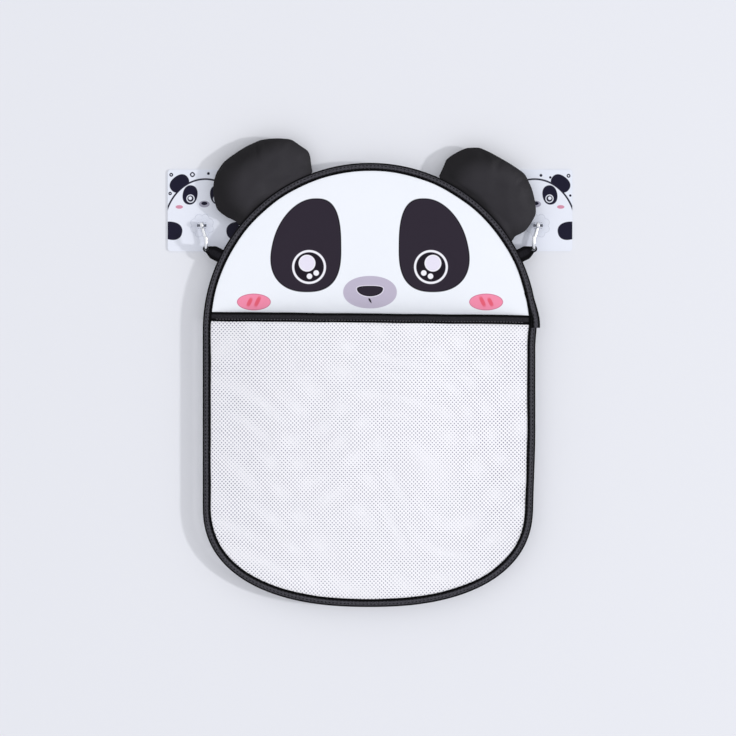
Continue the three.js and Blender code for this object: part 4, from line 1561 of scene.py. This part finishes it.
@dataclass(frozen=True)
class WebbingLoop:
    """A webbing strap folded over the hook's wire, twisted a quarter turn and sewn into the binding."""

    side: Side
    bag: BagShape
    angle: float = 26.4
    reach: float = 15.2
    width: float = 13.4
    width_on_wire: float = 6.4
    ply: float = 0.9
    ply_on_wire: float = 1.5
    gap: float = 0.4
    bend: float = 1.85
    spread: float = 5.0
    twist_from: float = 10.5
    narrow_from: float = 6.5
    twist_end: float = 0.5
    tuck: float = 2.0
    stiff: float = 7.0
    squareness: Pair = (7.0, 3.2)

    def strap(self) -> Array:
        """The strap about its own axis: both plies and the turn over the wire are one profile along one path.

        Returns:
            Places beside the axis, behind it and along it from the bag's centre, in millimetres, by row along
            the strap and column round it.
        """
        wire = self.bag.radius + self.reach
        rise = np.linspace(self.bag.radius - self.tuck, wire, 60)
        turn = np.linspace(0, math.pi, 26)[1:-1]
        on_wire = ease(rise, self.bag.radius + self.twist_from, wire - self.twist_end)
        narrow = ease(rise, self.bag.radius + self.narrow_from, wire)
        twist = (1 - on_wire) * math.pi / 2
        ply = self.ply + (self.ply_on_wire - self.ply) * on_wire
        wide = self.width + (self.width_on_wire - self.width) * narrow
        apart = self.gap / 2 + (self.bend - self.gap / 2) * ease(rise, wire - self.spread, wire) + ply / 2
        through = joined(np.cos(twist), np.sin(twist), 0.0)
        across = joined(-np.sin(twist), np.cos(twist), 0.0)
        spine, off = joined(0.0, 0.0, rise), through * apart[:, None]
        over = joined(np.cos(turn), 0.0, np.sin(turn))
        top = np.array([0.0, 0.0, wire]) + over * (self.bend + self.ply_on_wire / 2)
        path = np.concatenate([spine + off, top, (spine - off)[::-1]])
        lift = np.concatenate([through, over, -through[::-1]])
        side = np.concatenate([across, np.tile([0.0, 1.0, 0.0], (len(turn), 1)), across[::-1]])
        halves = [np.concatenate([values, np.full(len(turn), last), values[::-1]])[:, None] / 2
                  for values, last in ((wide, self.width_on_wire), (ply, self.ply_on_wire))]
        around = circle(20)
        ring = joined(*(powered(wave(around), power) * half for wave, power, half in zip(
            (np.cos, np.sin), self.squareness, halves)))
        return tube(path * MM, side, lift, ring) / MM

    def build(self) -> list[Object]:
        """Makes the strap.

        Returns:
            The one piece.
        """
        word, radius = self.side.word, self.bag.radius
        local = self.strap()
        outward = spokes(math.radians(self.angle)) * [self.side.value, 1]
        beside = outward[::-1] * [1, -1]
        centre = np.array([0.0, self.bag.arc_up])
        flat = local[..., :1] * beside + local[..., 2:] * outward + centre
        points = placed(flat[..., 0], self.bag.out - local[..., 1], flat[..., 1])
        strap = Surface().rod(points, running_length(points[:, 0], False))
        piece = strap.piece(f"{word}_loop_strap", WEBBING, WELD, outward=True)
        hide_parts(f"{word}_loop")
        start, end = (self.bag.point(centre + outward * distance)
                      for distance in (radius + self.reach - self.stiff, radius))
        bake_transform(piece)
        return [piece]


@dataclass(frozen=True)
class WallHook:
    """A wire hook on a pin in a clear rosette, on a printed adhesive patch."""

    side: Side
    pin_across: float = 165.0115
    pin_out: float = 7.0
    pin_up: float = -15.0
    wire: float = 1.65
    eye_ring: float = 2.45
    eye_half: float = 0.92
    eye_power: float = 2.6
    eye_map: Pair = (15.4, 8.0)
    wire_map: float = 9.4
    pin_map: float = 7.5
    rosette_map: float = 70.0
    lug_map: float = 20.0
    bend: float = 6.5
    straight: float = 16.5
    tip: float = 4.5
    lean: float = 4.5
    petals: int = 8
    petal_reach: float = 12.0
    petal_notch: float = 1.9
    petal_groove: Triple = (0.4, 0.42, 0.7)
    petal_shares: tuple[float, ...] = (
        0.12, 0.3, 0.42, 0.48, 0.56, 0.66, 0.76, 0.85, 0.92, 0.97, 1.0, 1.0, 0.985)
    petal_levels: tuple[float, ...] = (
        1.0, 1.0, 1.0, 0.84, 0.78, 0.86, 0.9, 0.86, 0.74, 0.56, 0.3, 0.1, 0.0)
    film_out: float = 1.0
    foot_depth: float = 0.25
    base_out: float = 3.0
    lug_inner: float = 2.5
    lug_outer: float = 4.1
    lug_radius: float = 3.0
    lug_waist: float = 3.2
    lug_foot: float = 3.4
    lug_depths: tuple[float, ...] = (0.0, 0.0, 0.18, 0.5, 0.82, 1.0, 1.0)
    lug_insets: tuple[float, ...] = (0.6, 0.9, 0.97, 1.0, 0.97, 0.9, 0.6)
    lug_sunk: float = 0.8
    pin_radius: float = 1.2
    pin_half: float = 4.6
    pin_shares: tuple[float, ...] = (0.7, 0.78, 0.8, 0.88, 0.97, 1.0)
    pin_sizes: tuple[float, ...] = (0.96, 1.0, 1.32, 1.25, 0.95, 0.45)
    patch_across: float = 163.7115

    @property
    def middle(self) -> float:
        """Where the pin's middle lies across the wall."""
        return self.side.value * self.pin_across

    def hook(self) -> Object:
        """The wire: an eye round the pin, a shaft that leans in and a bend that ends in a rounded tip."""
        down = np.linspace(self.eye_ring, self.straight, 30)
        turn = np.linspace(0, math.pi, 40)[1:]
        rise = np.linspace(0, self.tip, 8)[1:]
        across = np.concatenate([self.lean * down / self.straight, np.full(len(turn) + len(rise), self.lean)])
        out = np.concatenate([0 * down, self.bend * (1 - np.cos(turn)), np.full(len(rise), 2 * self.bend)])
        up = np.concatenate([-down, -self.straight - self.bend * np.sin(turn), -self.straight + rise])
        path = placed(self.middle - self.side.value * across, self.pin_out + out, self.pin_up + up)
        ahead = unit(np.gradient(path, axis=0))
        side = unit(np.array([1.0, 0.0, 0.0]) - ahead * ahead[:, :1])
        lift = np.cross(ahead, side)
        dome = np.linspace(0, math.pi / 2, 9)[1:-1]
        tip = ahead[-1] * self.wire * MM
        whole = np.concatenate([path, path[-1] + tip * np.sin(dome)[:, None]])
        sizes = np.concatenate([np.ones(len(path)), np.cos(dome)]) * self.wire
        side, lift = (np.vstack([way, np.tile(way[-1], (len(dome), 1))]) for way in (side, lift))
        around = circle(24)
        points = tube(whole, side, lift, spokes(around) * sizes[:, None, None])
        surface = Surface().rod(points, running_length(whole, False), np.linspace(0, self.wire_map, 25),
                                (None, path[-1] + tip))
        loop = circle(48)
        spoke = joined(0.0, np.cos(loop), np.sin(loop))
        section = powered(spokes(around), self.eye_power) * [self.eye_half, self.wire]
        centre = placed(self.middle, self.pin_out, self.pin_up)
        sideways = np.tile([1.0, 0.0, 0.0], (len(loop), 1))
        eye = tube(centre + spoke * self.eye_ring * MM, spoke, sideways, section)
        maps = (np.linspace(0, length, count) for length, count in zip(self.eye_map, (49, 25)))
        surface.grid(eye, *maps, (True, True))
        return surface.piece(f"{self.side.word}_wire_hook", STEEL, WELD, outward=True)

    def pin(self) -> Object:
        """The cross pin: a rod turned about its axis, with the same domed head at both ends."""
        half, sizes = np.array(self.pin_shares) * self.pin_half, np.array(self.pin_sizes) * self.pin_radius
        along, size = np.concatenate([-half[::-1], half]), np.concatenate([sizes[::-1], sizes])[:, None]
        turn = circle(28)
        points = placed(self.middle + along[:, None], self.pin_out + size * np.cos(turn),
                        self.pin_up + size * np.sin(turn))
        rod = Surface().rod(points, along, np.linspace(0, self.pin_map, 29))
        return rod.piece(f"{self.side.word}_pin", PIN_STEEL, WELD, outward=True)

    def rosette(self) -> Object:
        """The clear base: a disc of embossed petals whose reach falls between them, and two lugs."""
        turn = circle(192)
        share, level = (np.array(values)[:, None] for values in (self.petal_shares, self.petal_levels))
        petal = np.abs(np.sin(self.petals / 2 * turn))
        reach = share * (self.petal_reach - self.petal_notch * (1 - petal))
        depth, *span = self.petal_groove
        groove = 1 - depth * ease(share, *span) * (1 - petal) ** 2
        foot = self.film_out - self.foot_depth
        out = foot + (self.base_out - foot) * level * groove
        points = placed(self.middle + reach * np.cos(turn), out, self.pin_up + reach * np.sin(turn))
        tips = tuple(placed(self.middle, height, self.pin_up) for height in (self.base_out, foot))
        around = np.linspace(0, self.rosette_map, 193)
        disc = Surface().rod(points, share[:, 0] * self.petal_reach, around, tips)
        made = disc.piece(f"{self.side.word}_rosette", CLEAR, WELD, outward=True)
        for sign in (-1, 1):
            self.unite(made, self.lug(sign))
        return made

    def lug(self, sign: int) -> Object:
        """One lug: a rounded plate standing on the disc, its edge eased on both sides.

        Args:
            sign: which side of the hook it stands on.

        Returns:
            The lug as an object of its own.
        """
        foot = self.pin_out - self.base_out + self.lug_sunk
        top = spokes(np.linspace(0, math.pi, 25)) * self.lug_radius
        left = np.array([[-self.lug_waist, -foot / 2], [-self.lug_foot, -foot]])
        loop = np.concatenate([top, left, left[::-1] * [-1, 1]])
        depth, inset = np.array(self.lug_depths), np.array(self.lug_insets)[:, None]
        x = self.middle + sign * (self.lug_inner + (self.lug_outer - self.lug_inner) * depth)
        points = placed(x[:, None], self.pin_out + inset * loop[:, 1], self.pin_up + inset * loop[:, 0])
        plate = Surface().rod(points, depth, np.linspace(0, self.lug_map, len(loop) + 1))
        return plate.piece(f"{self.side.word}_lug", CLEAR, WELD, outward=True)

    @staticmethod
    def unite(body: Object, other: Object) -> None:
        """Unites another closed piece with a body and takes the other away."""
        modifier = body.modifiers.new("unite", "BOOLEAN")
        modifier.operation, modifier.object, modifier.solver = "UNION", other, "EXACT"
        shown = body.evaluated_get(bpy.context.evaluated_depsgraph_get())
        united = bpy.data.meshes.new_from_object(shown)
        body.modifiers.remove(modifier)
        body.data = united
        bpy.data.objects.remove(other)

    def build(self) -> list[Object]:
        """Makes the rosette, pin and hook, and finishes the patch's film and pad.

        Returns:
            The new pieces.
        """
        word = self.side.word
        rosette, pin, hook = self.rosette(), self.pin(), self.hook()
        rosette.visible_shadow = False
        film = PatchPrint(f"{word}_printed_film", "#e6eaf6", 0.3, drift=0.015, rough_swing=0.06,
                          side=self.side, middle=self.side.value * self.patch_across)
        for node, finish in ((f"{word}_patch_film", film), (f"{word}_adhesive_pad", GEL)):
            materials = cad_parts[node].data.materials
            materials.clear()
            materials.append(finish.material())
        return [declare(rosette, "wall_patches", f"{word}_hook_base"),
                declare(pin, "wall_patches", f"{word}_hook_pin"),
                declare(hook, f"{word}_hook", f"{word}_hook")]


@dataclass(frozen=True)
class Studio:
    """The pale wall and floor, the lamp, the world and the camera, in metres."""

    frame_width: float = 0.7213
    distance: float = 6.0
    middle: Pair = (-0.00196, -0.1548)
    object_out: float = 0.0145
    floor_up: float = -1.0
    span: float = 4.0
    depth: float = 6.0
    wall_behind: float = 0.0006
    wall: str = "#e7e8ee"
    floor: str = "#e6e7ec"
    roughness: float = 0.7
    gloss: float = 0.2
    key_place: Triple = (8.22, -5.67, -0.72)
    key_power: float = 342.0
    key_size: float = 0.6
    world_colour: tuple[float, ...] = (0.97, 0.98, 1.0, 1.0)
    world_level: float = 0.845

    def backdrop(self, name: str, near: Pair, far: Pair, colour: str) -> None:
        """Adds a plain plane that neither hides what is seen from behind it nor keeps light from it.

        Args:
            name: the plane's name.
            near: the depth and height of its first edge in metres.
            far: the depth and height of its opposite edge.
            colour: its hex colour.
        """
        mesh = bpy.data.meshes.new(name)
        sides = (-self.span, self.span, self.span, -self.span)
        corners = [(side, *edge) for side, edge in zip(sides, (near, near, far, far))]
        mesh.from_pydata(corners, [], [(0, 1, 2, 3)])
        material = bpy.data.materials.new(name)
        material.use_nodes = True
        shader, nodes = Shader(material.node_tree), material.node_tree.nodes
        surface = nodes["Principled BSDF"]
        shader.join(surface, {"Base Color": linear(colour), "Roughness": self.roughness,
                              "Specular IOR Level": self.gloss})
        clear = shader.node("ShaderNodeBsdfTransparent").outputs[0]
        back = shader.node("ShaderNodeNewGeometry").outputs["Backfacing"]
        mixed = shader.node("ShaderNodeMixShader", {0: back, 1: surface.outputs[0], 2: clear})
        shader.put(nodes["Material Output"].inputs["Surface"], mixed.outputs[0])
        mesh.materials.append(material)
        plane = bpy.data.objects.new(name, mesh)
        plane.visible_shadow = plane.visible_diffuse = False
        bpy.context.scene.collection.objects.link(plane)

    def lamp(self) -> None:
        """Adds the square key lamp, facing the bag's middle."""
        data = bpy.data.lights.new("key_lamp", "AREA")
        data.energy, data.size = self.key_power, self.key_size
        made = bpy.data.objects.new("key_lamp", data)
        bpy.context.scene.collection.objects.link(made)
        x, y, z = np.array([self.middle[0], -self.object_out, self.middle[1]]) - self.key_place
        made.location = self.key_place
        made.rotation_euler = math.atan2(math.hypot(x, y), -z), 0.0, math.atan2(y, x) - math.pi / 2

    def camera(self) -> None:
        """Adds the camera, level and square to the wall, whose frame is as wide as the photograph's."""
        data = bpy.data.cameras.new("photo_camera")
        data.lens = data.sensor_width * self.distance / self.frame_width
        made = bpy.data.objects.new("photo_camera", data)
        made.location = (self.middle[0], -self.object_out - self.distance, self.middle[1])
        made.rotation_euler = (math.pi / 2, 0.0, 0.0)
        bpy.context.scene.collection.objects.link(made)
        bpy.context.scene.camera = made

    def build(self) -> None:
        """Makes the stage, the lamp, the world and the camera."""
        corner = (self.wall_behind, self.floor_up)
        self.backdrop("plain_wall", corner, (self.wall_behind, self.span), self.wall)
        self.backdrop("plain_floor", (-self.depth, self.floor_up), corner, self.floor)
        self.lamp()
        self.camera()
        scene = bpy.context.scene
        scene.world = bpy.data.worlds.new("pale_room")
        scene.world.use_nodes = True
        background = scene.world.node_tree.nodes["Background"]
        background.inputs["Color"].default_value = self.world_colour
        background.inputs["Strength"].default_value = self.world_level
        scene.view_settings.view_transform = "Standard"


LEFT_EAR = (
    (43.6, -6.2), (46.3, -1.6), (48.6, 2.4), (50.9, 6.4), (52.8, 10.7), (53.2, 15.3), (51.4, 20.0),
    (48.3, 28.5), (46.7, 32.5), (43.5, 35.8), (36.7, 41.2), (30.1, 45.3), (21.2, 50.2), (14.8, 51.8),
    (6.0, 53.7), (-6.1, 54.4), (-19.6, 53.9), (-26.6, 51.7), (-33.9, 48.4), (-41.0, 43.0), (-46.0, 37.0),
    (-50.4, 30.0), (-52.5, 24.6), (-54.0, 20.0), (-53.3, 15.3), (-51.9, 10.8), (-50.2, 6.5), (-47.7, 2.6),
    (-45.2, -2.4), (-45.0, -7.6))
RIGHT_EAR = (
    (48.1, -7.8), (50.2, -3.4), (51.8, 1.2), (53.2, 5.7), (54.9, 10.3), (54.4, 15.2), (51.5, 24.5),
    (47.4, 32.7), (44.1, 36.0), (40.8, 39.0), (37.2, 41.5), (28.7, 44.1), (15.8, 47.4), (5.2, 49.7),
    (-5.5, 51.2), (-13.0, 51.4), (-18.5, 49.4), (-28.9, 44.2), (-38.4, 37.9), (-44.0, 33.0), (-47.8, 28.4),
    (-50.0, 20.0), (-51.0, 11.0), (-50.0, 6.6), (-48.4, 2.4), (-46.6, -1.8), (-47.2, -9.4))


def main() -> None:
    """Builds every sub-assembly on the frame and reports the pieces."""
    logging.basicConfig(level=logging.INFO, format="%(name)s: %(message)s")
    bag = BagShape.from_frame()
    Studio().build()
    assemblies = [
        EdgeBinding(bag), Face(bag), Pocket(bag),
        Ear(Side.LEFT, bag, 125.511, LEFT_EAR, LEFT_NYLON),
        Ear(Side.RIGHT, bag, 48.689, RIGHT_EAR, RIGHT_NYLON),
        *(WebbingLoop(side, bag) for side in Side), *(WallHook(side) for side in Side),
    ]
    for assembly in assemblies:
        for piece in assembly.build():
            LOG.info("%s: %d points", piece.name, len(piece.data.vertices))


if __name__ == "__main__":
    main()
